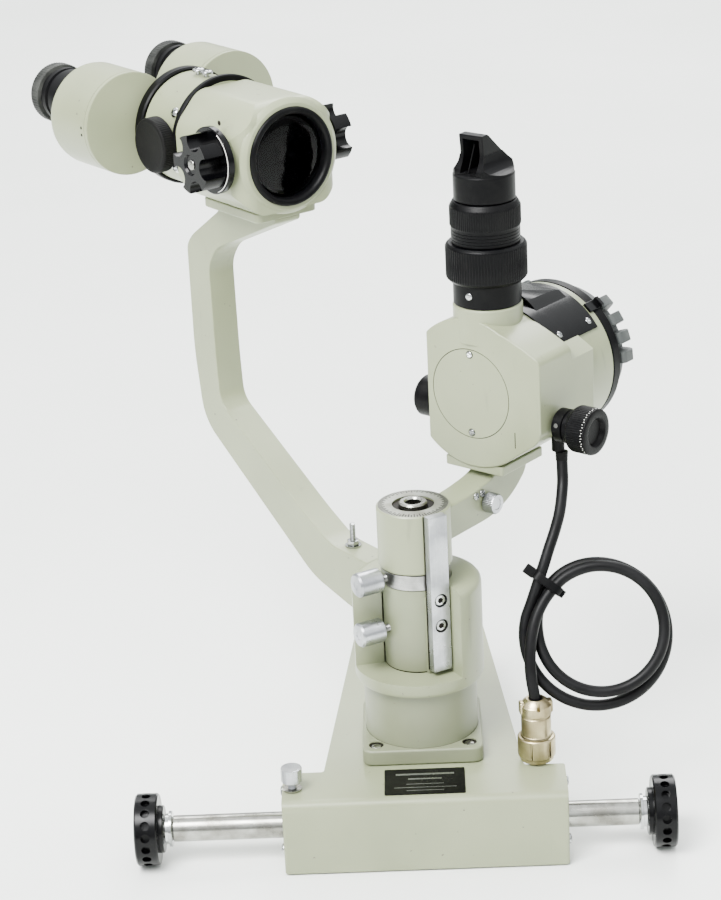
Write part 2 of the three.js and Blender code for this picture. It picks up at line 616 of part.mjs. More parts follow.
// Mirror carrier: a round cap whose upper part is a narrow roof that slopes down to the back.
function mirrorHead() {
  const capTop = 366.4;
  const cap = turned([
    [9, 351.4], [17.6, 351.4], [17.6, capTop - 0.6], [17, capTop], [9, capTop],
  ], 'z', barrelPoint, 40);
  const y = BARREL.y;
  const cheek = rounded([
    [y - 13, capTop - 2, 0], [y + 17, capTop - 2, 0], [y + 16.5, 369, 2], [y - 6, 389.6, 0],
    [y - 11.5, 389.6, 1], [y - 10.5, 376, 4],
  ]);
  const roof = prism(cheek, 'yz', -8, 8, 3).subtract(prism([
    [y - 30, capTop], [y + 11.4, capTop], [y - 9, 387], [y - 30, 387],
  ], 'yz', -5.6, 5.6)).subtract(rod(9, 350, 368, 'z', barrelPoint, 24));
  return cap.add(roof);
}

function lampMirror() {
  const y = BARREL.y;
  return prism([
    [y + 7.5, 368.6], [y + 8.5, 368.6], [y - 9.5, 386.6], [y - 10.5, 386.6],
  ], 'yz', -5.2, 5.2);
}

function lampRearRing() {
  return pipe(43.4, 36, LAMP.end + GAP, 143, 'y', [0, 0, LAMP.axisZ], 52);
}

// Finned cap: paddle fins stand out on both sides of its upper half, none at the top or below.
function heatSink() {
  const { tip, core, front, petalFront, petalBack, back, flat } = SINK;
  const axis = [0, 0, LAMP.axisZ];
  let sink = turned([
    [0, 138], [35.7, 138], [35.7, front], [41, front], [41, petalFront + 1], [core, petalFront + 1],
    [core, petalBack], [36, back], [0, back],
  ], 'y', axis, 44);
  for (const side of [0, 180]) {
    for (const angle of [49, 34, 19, 4]) {
      const fin = box([core - 3, tip], [petalFront, petalBack], [-3.5, 3.5])
        .rotate([0, side + (side ? angle : -angle), 0]).translate(axis);
      sink = sink.add(fin);
    }
  }
  return sink.subtract(box([-60, 60], [130, 170], [180, flat]));
}

function lampBulb() {
  return turned([
    [0, 96], [5, 97.5], [7.5, 102], [7.5, 108], [5, 114], [5, 120], [9, 120], [9, 137.6], [0, 137.6],
  ], 'y', [0, 0, LAMP.axisZ], 24);
}

function condenserLens() {
  return turned([[0, 293], [8, 293.8], [10.7, 296], [10.7, 300], [8, 302], [0, 302.8]], 'z', barrelPoint, 24);
}

// ---------------------------------------------------------------- lead (whole-object frame)
// The lead leans towards the front: its plane falls from the gland to the foot of the loop.
const LEAD = { gland: [85.6, 28.2, 214], lean: 0.447 };

function leadY(z) {
  return LEAD.gland[1] - LEAD.lean * (LEAD.gland[2] - z);
}

const upperRoute = [
  [85.7, 203], [85.7, 198], [85.2, 189.6], [83.1, 179.3], [79.8, 169.1], [75.6, 159.6], [73.5, 155.6],
];
const lowerRoute = [[63, 89.6], [63.4, 87.7], [63.8, 85.8]];

function cordTube(route) {
  const curve = new THREE.CatmullRomCurve3(route.map(([x, z]) => new THREE.Vector3(x, leadY(z), z)));
  const circle = new THREE.Shape();
  circle.absarc(0, 0, CORD.radius, 0, 2 * Math.PI, false);
  return solid(new THREE.ExtrudeGeometry(circle, {
    extrudePath: curve, steps: 3 * route.length, curveSegments: 5, bevelEnabled: false,
  }));
}

function tiltToLead(piece) {
  const degrees = -THREE.MathUtils.radToDeg(Math.atan(LEAD.lean));
  return piece.rotate([degrees, 0, 0]);
}

function cordLoop() {
  const inner = CORD.loopRadius - CORD.loopBand;
  const outer = CORD.loopRadius + CORD.loopBand;
  const ring = pipe(outer, inner, -CORD.loopDepth, CORD.loopDepth, 'y', [0, 0, 0], 40);
  return tiltToLead(ring).translate([CORD.loopX, leadY(CORD.loopZ), CORD.loopZ]);
}

function cordGland() {
  const [x, y, z] = LEAD.gland;
  const top = GLAND.bossLow - GAP;
  return turned([[0, top], [GLAND.radius, top], [GLAND.radius, top - 1.5], [3.7, z - 10.5], [0, z - 10.5]],
    'z', [x, y, 0], 20);
}

function connector() {
  return turned([
    [0, 46.3], [9.6, 46.3], [10.8, 49.5], [10.8, 61], [8.5, 63], [8.5, 74], [8.9, 75],
    [8.9, 81], [7.5, 83], [5, 84.2], [0, 84.2],
  ], 'z', [64.6, -33, 0], 28);
}

function cordTie() {
  const [across, deep] = [CORD.loopBand, CORD.loopDepth];
  const band = box([-across - 2.2, across + 2.2], [-deep - 2.2, deep + 2.2], [-2.5, 2.5])
    .subtract(box([-across - 0.6, across + 0.6], [-deep - 0.5, deep + 0.5], [-4, 4]));
  const placed = band.translate([-CORD.loopRadius, 0, 0]).rotate([0, CORD.tieAngle, 0]);
  return tiltToLead(placed).translate([CORD.loopX, leadY(CORD.loopZ), CORD.loopZ]);
}

// ---------------------------------------------------------------- assembly
const slitLamp = new THREE.Group();
const microscope = new THREE.Group();
microscope.rotation.z = THREE.MathUtils.degToRad(MIC.swing);
const illumination = new THREE.Group();
illumination.rotation.z = THREE.MathUtils.degToRad(LAMP.swing);
slitLamp.add(microscope, illumination);

slitLamp.add(
  mesh('base_cover', baseCover(), paint()),
  mesh('glide_plate', glidePlate(), black()),
  mesh('column_sleeve', columnSleeve(), paint()),
  mesh('axle_bush_left', axleBush(-1), brass()),
  mesh('axle_bush_right', axleBush(1), brass()),
  mesh('drive_belt', driveBelt(), rubber()),
  mesh('joystick_socket', joystickSocket(), black()),
  mesh('base_lock_screw', baseLockScrew(), aluminium()),
  mesh('axle_tube', pipe(AXLE.tubeRadius, AXLE.bore, AXLE.left, AXLE.right, 'x', axlePoint), steel()),
  mesh('axle_collar_left', pipe(COLLAR.radius, AXLE.bore, AXLE.left - GAP - COLLAR.width,
    AXLE.left - GAP, 'x', axlePoint), steel()),
  mesh('axle_collar_right', pipe(COLLAR.radius, AXLE.bore, AXLE.right + GAP,
    AXLE.right + GAP + COLLAR.width, 'x', axlePoint), steel()),
  mesh('axle_rod', rod(AXLE.rod, WHEEL.leftOuter + 1, WHEEL.rightOuter - 1, 'x', axlePoint), steel()),
  mesh('wheel_left', wheel(-1), black()),
  mesh('wheel_right', wheel(1), black()),
  mesh('pivot_post', pivotPost(), steel()),
  mesh('lead_screw', leadScrew(), steel()),
  mesh('joystick_pulley', joystickPulley(), black()),
  mesh('joystick_gimbal', joystickGimbal(), steel()),
  mesh('joystick_lever', joystickLever(), black()),
  mesh('joystick_grip', joystickGrip(), black()),
);

microscope.add(
  mesh('microscope_arm', microscopeArm(), paint()),
  mesh('lower_sleeve', lowerSleeve(), paint()),
  mesh('clamp_band', clampBand(), steel()),
  mesh('index_bar', indexBar(), aluminium()),
  mesh('microscope_lock_knob', lockKnob(LOCK_HEIGHT.microscope), aluminium()),
  mesh('illumination_lock_knob', lockKnob(LOCK_HEIGHT.illumination), aluminium()),
  mesh('microscope_head', microscopeHead(), paint()),
  mesh('objective_bezel', objectiveBezel(), black()),
  mesh('objective_lens', objectiveLens(), glass()),
  mesh('magnification_drum', magnificationDrum(), black()),
  mesh('magnification_knob_left', magnificationKnob(-1), black()),
  mesh('magnification_knob_right', magnificationKnob(1), black()),
  mesh('binocular_tube', binocularTube(), paint()),
  mesh('tube_ring_rear', rearRing(), black()),
  mesh('tube_lock_knob', tubeLockKnob(), black()),
  mesh('prism_housing_left', prismHousing(-1), paint()),
  mesh('prism_housing_right', prismHousing(1), paint()),
  mesh('eyepiece_left', eyepiece(-1), black()),
  mesh('eyepiece_right', eyepiece(1), black()),
  mesh('dioptre_ring_left', dioptreRing(-1), black()),
  mesh('dioptre_ring_right', dioptreRing(1), black()),
);

illumination.add(
  mesh('lamp_arm', lampArm(), paint()),
  mesh('lamp_housing', lampHousing(), paint()),
  mesh('slit_knob_right', slitKnobRight(), black()),
  mesh('slit_knob_left', slitKnobLeft(), black()),
  mesh('barrel_tube', barrelTube(), black()),
  mesh('aperture_ring', apertureRing(), black()),
  mesh('filter_ring', filterRing(), black()),
  mesh('mirror_head', mirrorHead(), black()),
  mesh('lamp_mirror', lampMirror(), mirrorGlass()),
  mesh('lamp_rear_ring', lampRearRing(), black()),
  mesh('heat_sink', heatSink(), sinkGrey()),
  mesh('lamp_bulb', lampBulb(), glass()),
  mesh('condenser_lens', condenserLens(), glass()),
);

slitLamp.add(
  mesh('cord_gland', cordGland(), rubber()),
  mesh('cord_upper', cordTube(upperRoute), rubber()),
  mesh('cord_loop', cordLoop(), rubber()),
  mesh('cord_lower', cordTube(lowerRoute), rubber()),
  mesh('cord_tie', cordTie(), rubber()),
  mesh('lead_connector', connector(), nickel()),
);

export default slitLamp;
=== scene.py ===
import math

import bmesh
import bpy
from mathutils import Matrix, Vector


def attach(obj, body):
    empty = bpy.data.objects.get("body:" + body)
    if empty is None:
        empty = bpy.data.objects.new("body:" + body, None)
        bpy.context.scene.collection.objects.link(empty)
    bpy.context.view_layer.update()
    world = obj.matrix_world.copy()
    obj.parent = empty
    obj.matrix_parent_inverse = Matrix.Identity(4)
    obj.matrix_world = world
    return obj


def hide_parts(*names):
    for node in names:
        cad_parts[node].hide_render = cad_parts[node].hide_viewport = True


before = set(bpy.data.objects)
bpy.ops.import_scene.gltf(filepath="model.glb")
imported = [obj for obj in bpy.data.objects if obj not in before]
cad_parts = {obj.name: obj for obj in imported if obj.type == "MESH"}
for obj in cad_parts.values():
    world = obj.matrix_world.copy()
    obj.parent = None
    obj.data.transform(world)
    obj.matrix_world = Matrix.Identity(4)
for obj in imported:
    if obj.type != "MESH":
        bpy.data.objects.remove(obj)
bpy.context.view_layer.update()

MM = 0.001
MIC, LAMP = "microscope", "illumination"
MIC_ARM, LAMP_ARM = 37.4, -38.3
SIDES = ((-1, "left"), (1, "right"))
# How far each body is turned about the pivot at rest, in degrees. The others are not turned.
REST_TURN = {
    MIC: MIC_ARM, "microscope_lock": MIC_ARM, "illumination_lock": MIC_ARM,
    "magnification": MIC_ARM, "tube_lock": MIC_ARM, "prism_left": MIC_ARM, "prism_right": MIC_ARM,
    "dioptre_left": MIC_ARM, "dioptre_right": MIC_ARM,
    LAMP: LAMP_ARM, "aperture": LAMP_ARM, "filter": LAMP_ARM, "slit_width": LAMP_ARM,
}
SHARP_ANGLE = 38
# Shared places: the axle, the base lock, the joystick, the microscope's axis, its drum and tube lock,
# the lamp's axis, the slit shaft, the barrel, and the azimuths of the index bar and the lock knobs.
AXLE = (0, -53.3, 20.5)
LOCK_X, LOCK_Y = -74.2, -58
STICK_AT, STICK_PIVOT_Z = (0, 125, 0), 48
AXIS_Z = 374.3
AXIS = (0, 0, AXIS_Z)
DRUM_Y, DRUM_Z = 122.5, 375.6
TUBE_LOCK = (0, 180.5, AXIS_Z)
LAMP_Z = 239.8
SLIT_SHAFT = (0, 72, 226.6)
BARREL_Y = 75.9
BAR_AT, KNOB_AT = -7.4, -97.4
FLANGE_HOLES = [(x, y) for x in (-26.6, 26.6) for y in (-26.2, 26.2)]


# ---- camera
FOCAL_LENGTH = 132.65076
CAMERA_AT = Vector((7.16, -1382.35, 756.97))


def place_camera():
    yaw, pitch, roll = -0.0254, 0.367, 0.0496
    ahead = Vector((math.sin(yaw) * math.cos(pitch), math.cos(yaw) * math.cos(pitch), -math.sin(pitch)))
    level = Vector((math.cos(yaw), -math.sin(yaw), 0))
    above = level.cross(ahead)
    right = math.cos(roll) * level - math.sin(roll) * above
    up = math.sin(roll) * level + math.cos(roll) * above
    turn = Matrix((right, up, -ahead)).transposed().to_4x4()
    data = bpy.data.cameras.new("camera")
    data.sensor_fit = "HORIZONTAL"
    data.sensor_width = 36
    data.lens = FOCAL_LENGTH
    data.clip_end = 50
    camera = bpy.data.objects.new("camera", data)
    camera.matrix_world = Matrix.Translation(CAMERA_AT * MM) @ turn
    bpy.context.collection.objects.link(camera)
    bpy.context.scene.camera = camera


place_camera()


# ---- materials
def linear(r, g, b):
    def one(c):
        c /= 255
        return c / 12.92 if c <= 0.04045 else ((c + 0.055) / 1.055) ** 2.4

    return (one(r), one(g), one(b), 1)


def shader(name, values):
    mat = bpy.data.materials.new(name)
    mat.use_nodes = True
    nodes = mat.node_tree.nodes
    bsdf = nodes["Principled BSDF"]
    for key, value in values.items():
        bsdf.inputs[key].default_value = value
    return mat, nodes, mat.node_tree.links, bsdf


def noise(nodes, links, scale, stretch=(1, 1, 1), detail=4.0):
    place = nodes.new("ShaderNodeTexCoord")
    size = nodes.new("ShaderNodeMapping")
    size.inputs["Scale"].default_value = stretch
    tex = nodes.new("ShaderNodeTexNoise")
    tex.inputs["Scale"].default_value = scale
    tex.inputs["Detail"].default_value = detail
    links.new(place.outputs["Object"], size.inputs["Vector"])
    links.new(size.outputs["Vector"], tex.inputs["Vector"])
    return tex.outputs["Fac"]


def ramp(nodes, links, source, stops):
    node = nodes.new("ShaderNodeValToRGB")
    while len(node.color_ramp.elements) < len(stops):
        node.color_ramp.elements.new(0.5)
    for element, (place, colour) in zip(node.color_ramp.elements, stops):
        element.position = place
        element.color = colour
    links.new(source, node.inputs["Fac"])
    return node.outputs["Color"]


def grey(value):
    return (value, value, value, 1)


def mixed(nodes, links, factor, a, b, blend="MIX"):
    node = nodes.new("ShaderNodeMix")
    node.data_type = "RGBA"
    node.blend_type = blend
    for socket, value in ((node.inputs["Factor"], factor), (node.inputs["A"], a), (node.inputs["B"], b)):
        if hasattr(value, "links"):
            links.new(value, socket)
        else:
            socket.default_value = value
    return node.outputs["Result"]


def bump(nodes, links, bsdf, height, strength, distance):
    node = nodes.new("ShaderNodeBump")
    node.inputs["Strength"].default_value = strength
    node.inputs["Distance"].default_value = distance
    links.new(height, node.inputs["Height"])
    links.new(node.outputs["Normal"], bsdf.inputs["Normal"])


def enamel(name, colour, dark, rough=(0.34, 0.46)):
    """Sprayed enamel: faint mottling, orange peel, a few dark specks and rubbed patches."""
    mat, nodes, links, bsdf = shader(name, {"IOR": 1.5, "Coat Weight": 0.15, "Coat Roughness": 0.2})
    patches = noise(nodes, links, 14, detail=3)
    tone = ramp(nodes, links, patches, [(0.35, linear(*dark)), (0.62, linear(*colour))])
    specks = noise(nodes, links, 260, detail=2)
    spots = ramp(nodes, links, specks, [(0.745, grey(0)), (0.775, grey(1))])
    scuffs = noise(nodes, links, 120, (1, 1, 0.18), 8)
    rubs = ramp(nodes, links, scuffs, [(0.66, grey(0)), (0.8, grey(0.45))])
    tone = mixed(nodes, links, rubs, tone, linear(98, 97, 80))
    tone = mixed(nodes, links, spots, tone, linear(92, 88, 74))
    links.new(tone, bsdf.inputs["Base Color"])
    gloss = ramp(nodes, links, patches, [(0.3, grey(rough[0])), (0.7, grey(rough[1]))])
    links.new(gloss, bsdf.inputs["Roughness"])
    peel = noise(nodes, links, 900, detail=2)
    bump(nodes, links, bsdf, peel, 0.10, 0.0002)
    return mat


def dark_finish(name, colour, worn, rough, grain=700, depth=0.15, shine=0.09):
    """Black plastic or black enamel: grain, rubbed lighter patches and fingerprints in the gloss."""
    mat, nodes, links, bsdf = shader(name, {"IOR": 1.5, "Specular IOR Level": shine})
    rub = noise(nodes, links, 60, detail=6)
    links.new(ramp(nodes, links, rub, [(0.45, linear(*colour)), (0.78, linear(*worn))]),
        bsdf.inputs["Base Color"])
    links.new(ramp(nodes, links, rub, [(0.3, grey(rough[0])), (0.7, grey(rough[1]))]),
        bsdf.inputs["Roughness"])
    fine = noise(nodes, links, grain, detail=3)
    bump(nodes, links, bsdf, fine, depth, 0.0002)
    return mat


def metal(name, colour, dark, rough, stretch=(1, 1, 1), grain=1500, depth=0.12):
    """Machined metal: fine tool marks along one direction, dull patches and tarnish."""
    mat, nodes, links, bsdf = shader(name, {"Metallic": 1.0})
    marks = noise(nodes, links, grain, stretch, 4)
    stains = noise(nodes, links, 70, detail=6)
    tone = ramp(nodes, links, stains, [(0.3, linear(*dark)), (0.6, linear(*colour))])
    lines = ramp(nodes, links, marks, [(0.25, grey(0.86)), (0.7, grey(1))])
    links.new(mixed(nodes, links, 1.0, tone, lines, "MULTIPLY"), bsdf.inputs["Base Color"])
    links.new(ramp(nodes, links, stains, [(0.3, grey(rough[1])), (0.7, grey(rough[0]))]),
        bsdf.inputs["Roughness"])
    bump(nodes, links, bsdf, marks, depth, 0.0001)
    return mat


def optic(name, centre, rim, rough=0.04, ior=1.5, clear=0.0):
    """Coated glass in front of a dark interior, with a cloudy film on it."""
    mat, nodes, links, bsdf = shader(name, {
        "IOR": ior, "Specular IOR Level": 0.3, "Transmission Weight": clear})
    film = noise(nodes, links, 55, detail=5)
    links.new(ramp(nodes, links, film, [(0.42, linear(*centre)), (0.75, linear(*rim))]),
        bsdf.inputs["Base Color"])
    links.new(ramp(nodes, links, film, [(0.4, grey(rough)), (0.8, grey(rough + 0.16))]),
        bsdf.inputs["Roughness"])
    return mat


CREAM = enamel("enamel", (134, 140, 111), (125, 131, 102))
# Darker copy of the enamel: painted shade for the column and flange under the hub.
SHADED_ENAMEL = enamel("enamel_painted_shade", (119, 125, 99), (110, 115, 90), (0.42, 0.54))
# Darker copy of the enamel: painted shade for the lower sleeve, set back inside the hub's window.
SLEEVE_SHADE_ENAMEL = enamel("enamel_sleeve_painted_shade", (124, 131, 103), (108, 113, 88), (0.4, 0.52))
GLOSS = dark_finish("black_gloss", (3, 3, 4), (9, 9, 10), (0.16, 0.3), 500, 0.06, shine=0.15)
SATIN = dark_finish("black_satin", (3, 3, 4), (13, 13, 13), (0.34, 0.48), 900, 0.12)
MATT = dark_finish("black_matt", (6, 6, 6), (18, 18, 17), (0.5, 0.66), 1100, 0.5)
RUBBER = dark_finish("lead_rubber", (5, 5, 6), (17, 17, 18), (0.4, 0.56), 1300, 0.22, shine=0.14)
STEEL = metal("steel", (170, 170, 164), (112, 110, 102), (0.16, 0.3), (0.04, 1, 1))
BRUSHED = metal("steel_brushed", (168, 168, 166), (104, 103, 101), (0.24, 0.4), (0.05, 0.05, 1), 1700, 0.3)
CHROME = metal("chrome", (200, 202, 202), (128, 130, 128), (0.08, 0.2), (1, 1, 1), 900, 0.05)
ALUMINIUM = metal("aluminium", (184, 186, 190), (146, 148, 152), (0.24, 0.4), (1, 1, 0.05), 1500, 0.2)
BRASS = metal("bronze", (176, 150, 98), (112, 92, 58), (0.26, 0.42), (1, 1, 1), 900, 0.15)
NICKEL = metal("nickel", (186, 174, 138), (134, 122, 90), (0.26, 0.42), (1, 1, 0.15), 1200, 0.12)
SINK = dark_finish("sink_grey", (60, 63, 62), (86, 89, 87), (0.42, 0.56), 600, 0.3, shine=0.35)
OPTIC = optic("optic", (3, 3, 5), (16, 16, 20))
# Near-black brown: painted shade in the gaps, grooves, bores and hollows it fills, and the dark colour of a
# few small screws and of the ring in the dial's pocket.
DARK_AND_SHADE = dark_finish("dark_and_painted_shade", (12, 10, 8), (44, 38, 30), (0.3, 0.6), 300, 0.6)
EYE_GREY = dark_finish("eye_ring_grey", (30, 31, 30), (74, 75, 72), (0.42, 0.6), 700, 0.3)
DIAL = metal("dial_face", (160, 162, 154), (124, 124, 112), (0.4, 0.55), (1, 1, 1), 900, 0.2)
MARK = dark_finish("mark_black", (14, 14, 13), (40, 40, 36), (0.5, 0.6))
WHITE = dark_finish("mark_white", (226, 226, 220), (205, 205, 200), (0.5, 0.6))
MIRROR = metal("mirror", (228, 232, 236), (212, 216, 220), (0.02, 0.06), (1, 1, 1), 300, 0.0)
KNURL = dark_finish("black_knurl", (3, 3, 4), (14, 14, 14), (0.3, 0.46), 1500, 0.6)
LENS = optic("front_glass", (96, 100, 112), (78, 82, 90), 0.02, 1.2, 1.0)
# The slot of each finish. The others are black_plastic, unless a piece names its own.
SLOT_OF = {
    CREAM: "enamel", SHADED_ENAMEL: "enamel", SLEEVE_SHADE_ENAMEL: "enamel", STEEL: "steel", BRUSHED: "steel", CHROME: "steel",
    DIAL: "steel", ALUMINIUM: "aluminium", BRASS: "bronze", NICKEL: "nickel", SINK: "sink",
    OPTIC: "glass", LENS: "glass", WHITE: "glass", RUBBER: "rubber",
}


# ---- solid helpers
def polar(radius, degrees):
    t = math.radians(degrees)
    return radius * math.cos(t), radius * math.sin(t)


def made(verts, faces):
    mesh = bpy.data.meshes.new("piece")
    mesh.from_pydata([tuple(v) for v in verts], [], faces)
    work = bmesh.new()
    work.from_mesh(mesh)
    bmesh.ops.remove_doubles(work, verts=work.verts, dist=1e-4)
    bmesh.ops.recalc_face_normals(work, faces=work.faces)
    work.to_mesh(mesh)
    work.free()
    piece = bpy.data.objects.new("piece", mesh)
    bpy.context.collection.objects.link(piece)
    return piece


AXES = {"x": lambda u, v, d: (d, u, v), "y": lambda u, v, d: (v, d, u), "z": lambda u, v, d: (u, v, d)}


def turned(profile, axis="z", centre=(0, 0, 0), sides=96, ribs=None):
    """Turned piece. ribs = (how many, how deep, from radius, from, to) cuts straight flutes into the rim."""
    rings = list(profile)
    closed = rings[0][0] > 0 or rings[-1][0] > 0
    if ribs:
        sides = ribs[0] * 4
    verts, faces = [], []
    for r, d in rings:
        for k in range(sides):
            t = 2 * math.pi * k / sides
            q = r
            if ribs and r >= ribs[2] and ribs[3] <= d <= ribs[4]:
                q = r - ribs[1] * (0.5 - 0.5 * math.cos(ribs[0] * t))
            p = AXES[axis](q * math.cos(t), q * math.sin(t), d)
            verts.append([p[i] + centre[i] for i in range(3)])
    count = len(rings)
    for i in range(count if closed else count - 1):
        j = (i + 1) % count
        for k in range(sides):
            m = (k + 1) % sides
            faces.append((i * sides + k, i * sides + m, j * sides + m, j * sides + k))
    return made(verts, faces)


def lathe(profile, *where, bore=0, **more):
    """Turned piece whose profile is only its outside; both ends are closed down to the bore."""
    return turned([(bore, profile[0][1]), *profile, (bore, profile[-1][1])], *where, **more)


def rod(radius, a, b, axis="z", centre=(0, 0, 0), sides=48):
    return lathe([(radius, a), (radius, b)], axis, centre, sides)


def pipe(outer, inner, a, b, axis="z", centre=(0, 0, 0), sides=96):
    return lathe([(outer, a), (outer, b)], axis, centre, sides, bore=inner)


def rounded(points, steps=7):
    outline = []
    count = len(points)
    for i, point in enumerate(points):
        corner = Vector(point[:2])
        radius = point[2] if len(point) > 2 else 0
        before = Vector(points[i - 1][:2]) - corner
        after = Vector(points[(i + 1) % count][:2]) - corner
        cut = min(radius, 0.45 * before.length, 0.45 * after.length)
        if cut < 0.01:
            outline.append(tuple(corner))
            continue
        enter, leave = corner + before.normalized() * cut, corner + after.normalized() * cut
        for s in range(steps + 1):
            t = s / steps
            outline.append(tuple((1 - t) ** 2 * enter + 2 * t * (1 - t) * corner + t * t * leave))
    return outline


PLANES = {"xy": lambda u, v, d: (u, v, d), "yz": lambda u, v, d: (d, u, v), "xz": lambda u, v, d: (u, d, v)}


def prism(outline, plane, a, b):
    count = len(outline)
    verts = [PLANES[plane](u, v, d) for d in (a, b) for u, v in outline]
    faces = [(i, (i + 1) % count, count + (i + 1) % count, count + i) for i in range(count)]
    faces += [tuple(range(count)), tuple(range(count, 2 * count))]
    return made(verts, faces)


def both(reach):
    """A pair of limits; one number reaches equally far to both sides."""
    return reach if isinstance(reach, tuple) else (-reach, reach)


def block(x, y, z):
    x, y, z = both(x), both(y), both(z)
    return prism([(x[0], y[0]), (x[1], y[0]), (x[1], y[1]), (x[0], y[1])], "xy", z[0], z[1])


def panel(x, y, z, radius, steps=6):
    """Flat plate with rounded corners."""
    x, y, z = both(x), both(y), both(z)
    corners = [(x[0], y[0]), (x[1], y[0]), (x[1], y[1]), (x[0], y[1])]
    return prism(rounded([(*corner, radius) for corner in corners], steps), "xy", z[0], z[1])


def moved(piece, matrix):
    piece.data.transform(matrix)
    if matrix.determinant() < 0:
        piece.data.flip_normals()
    return piece


def spun(piece, degrees, axis="Z"):
    return moved(piece, Matrix.Rotation(math.radians(degrees), 4, axis))


def shifted(piece, x, y, z):
    return moved(piece, Matrix.Translation((x, y, z)))


def aimed(piece, point, direction, roll=0):
    """Stands a piece made along +Z on a point, along a direction."""
    turn = Vector(direction).to_track_quat("Z", "Y").to_matrix().to_4x4()
    return moved(piece, Matrix.Translation(point) @ turn @ Matrix.Rotation(math.radians(roll), 4, "Z"))


def settle(piece):
    graph = bpy.context.evaluated_depsgraph_get()
    mesh = bpy.data.meshes.new_from_object(piece.evaluated_get(graph))
    piece.modifiers.clear()
    piece.data = mesh
    return piece


def gathered(parts):
    """Several loose solids as one mesh."""
    work = bmesh.new()
    for part in parts:
        work.from_mesh(part.data)
    work.to_mesh(parts[0].data)
    work.free()
    for part in parts[1:]:
        bpy.data.objects.remove(part)
    return parts[0]


def combined(piece, operation, tools):
    for tool in tools:
        step = piece.modifiers.new("combine", "BOOLEAN")
        step.operation = operation
        step.solver = "EXACT"
        step.object = tool
    settle(piece)
    for tool in tools:
        bpy.data.objects.remove(tool)
    return piece


def cut(piece, *tools):
    return combined(piece, "DIFFERENCE", tools)


def join(piece, *tools):
    return combined(piece, "UNION", tools)


def keep(piece, *tools):
    return combined(piece, "INTERSECT", tools)


def softened(piece, width, segments=3, angle=32):
    step = piece.modifiers.new("soften", "BEVEL")
    step.width = width
    step.segments = segments
    step.limit_method = "ANGLE"
    step.angle_limit = math.radians(angle)
    step.use_clamp_overlap = True
    return settle(piece)


def shaded(piece):
    piece.data.polygons.foreach_set("use_smooth", [True] * len(piece.data.polygons))
    piece.data.set_sharp_from_angle(angle=math.radians(SHARP_ANGLE))
    step = piece.modifiers.new("normals", "WEIGHTED_NORMAL")
    step.keep_sharp = True
    step.weight = 60
    return settle(piece)


def placed(piece, name, body, material, *nodes, slot=None, turn=None):
    """Puts a piece, or several loose ones as one, on its body, turned as the body is at rest."""
    piece = gathered(piece) if isinstance(piece, list) else piece
    turn = REST_TURN.get(body, 0) if turn is None else turn
    slot = slot or SLOT_OF.get(material, "black_plastic")
    piece.data.transform(Matrix.Rotation(math.radians(turn), 4, "Z"))
    piece.data.transform(Matrix.Scale(MM, 4))
    shaded(piece)
    piece.name = piece.data.name = name
    piece.data.materials.clear()
    piece.data.materials.append(material)
    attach(piece, body)
    if nodes:
        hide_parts(*nodes)
    return piece


def radial(profile, azimuth, z, sides):
    """Turned piece with a level axis, along an azimuth measured from -Y towards +X."""
    return shifted(spun(turned(profile, "y", sides=sides), azimuth + 180), 0, 0, z)


def screw(radius, height, point, direction, kind="cross", roll=20):
    """Screw head standing on a surface: a cross, slotted or hexagon socket drive."""
    if kind == "socket":
        head = lathe([(radius, 0), (radius, height - 0.4), (radius - 0.4, height)], sides=40)
        head = cut(head, lathe([(radius * 0.58, height - 1.4), (radius * 0.58, height + 1)], sides=6))
    else:
        crown = [(radius * math.cos(math.radians(a)), height * (0.35 + 0.65 * math.sin(math.radians(a))))
            for a in (0, 18, 36, 54, 72, 86)]
        head = turned([(0, 0), (radius * 0.96, 0)] + crown + [(0, height)], sides=40)
        wide, thin, deep = (0.75, 0.13, 0.45) if kind == "cross" else (1.2, 0.12, 0.55)
        slots = [block(radius * wide, radius * thin, (height * deep, height + 1))]
        if kind == "cross":
            slots.append(spun(block(radius * 0.62, radius * thin, (height * deep, height + 1)), 90))
        head = cut(head, *slots)
    return aimed(head, point, direction, roll)


def bearing(degrees):
    t = math.radians(degrees)
    return Vector((math.sin(t), -math.cos(t))), Vector((math.cos(t), math.sin(t)))


# ---- lead
LOOP = (100.4, -16.1, 114.9)
LOOP_RADIUS = 40.5


def lead_point(x, rise, depth):
    """A point near the loop: rise is measured along the leaning plane, depth is away from the front."""
    return Vector((x, LOOP[1] + 0.408 * rise + 0.913 * depth, LOOP[2] + 0.913 * rise - 0.408 * depth))


def smooth_route(points, steps):
    route = []
    for i in range(len(points) - 1):
        p = [points[max(i - 1, 0)], points[i], points[i + 1], points[min(i + 2, len(points) - 1)]]
        for s in range(steps):
            t = s / steps
            route.append(0.5 * (2 * p[1] + (p[2] - p[0]) * t + (2 * p[0] - 5 * p[1] + 4 * p[2]
                - p[3]) * t * t + (3 * p[1] - p[0] - 3 * p[2] + p[3]) * t ** 3))
    route.append(points[-1])
    return route


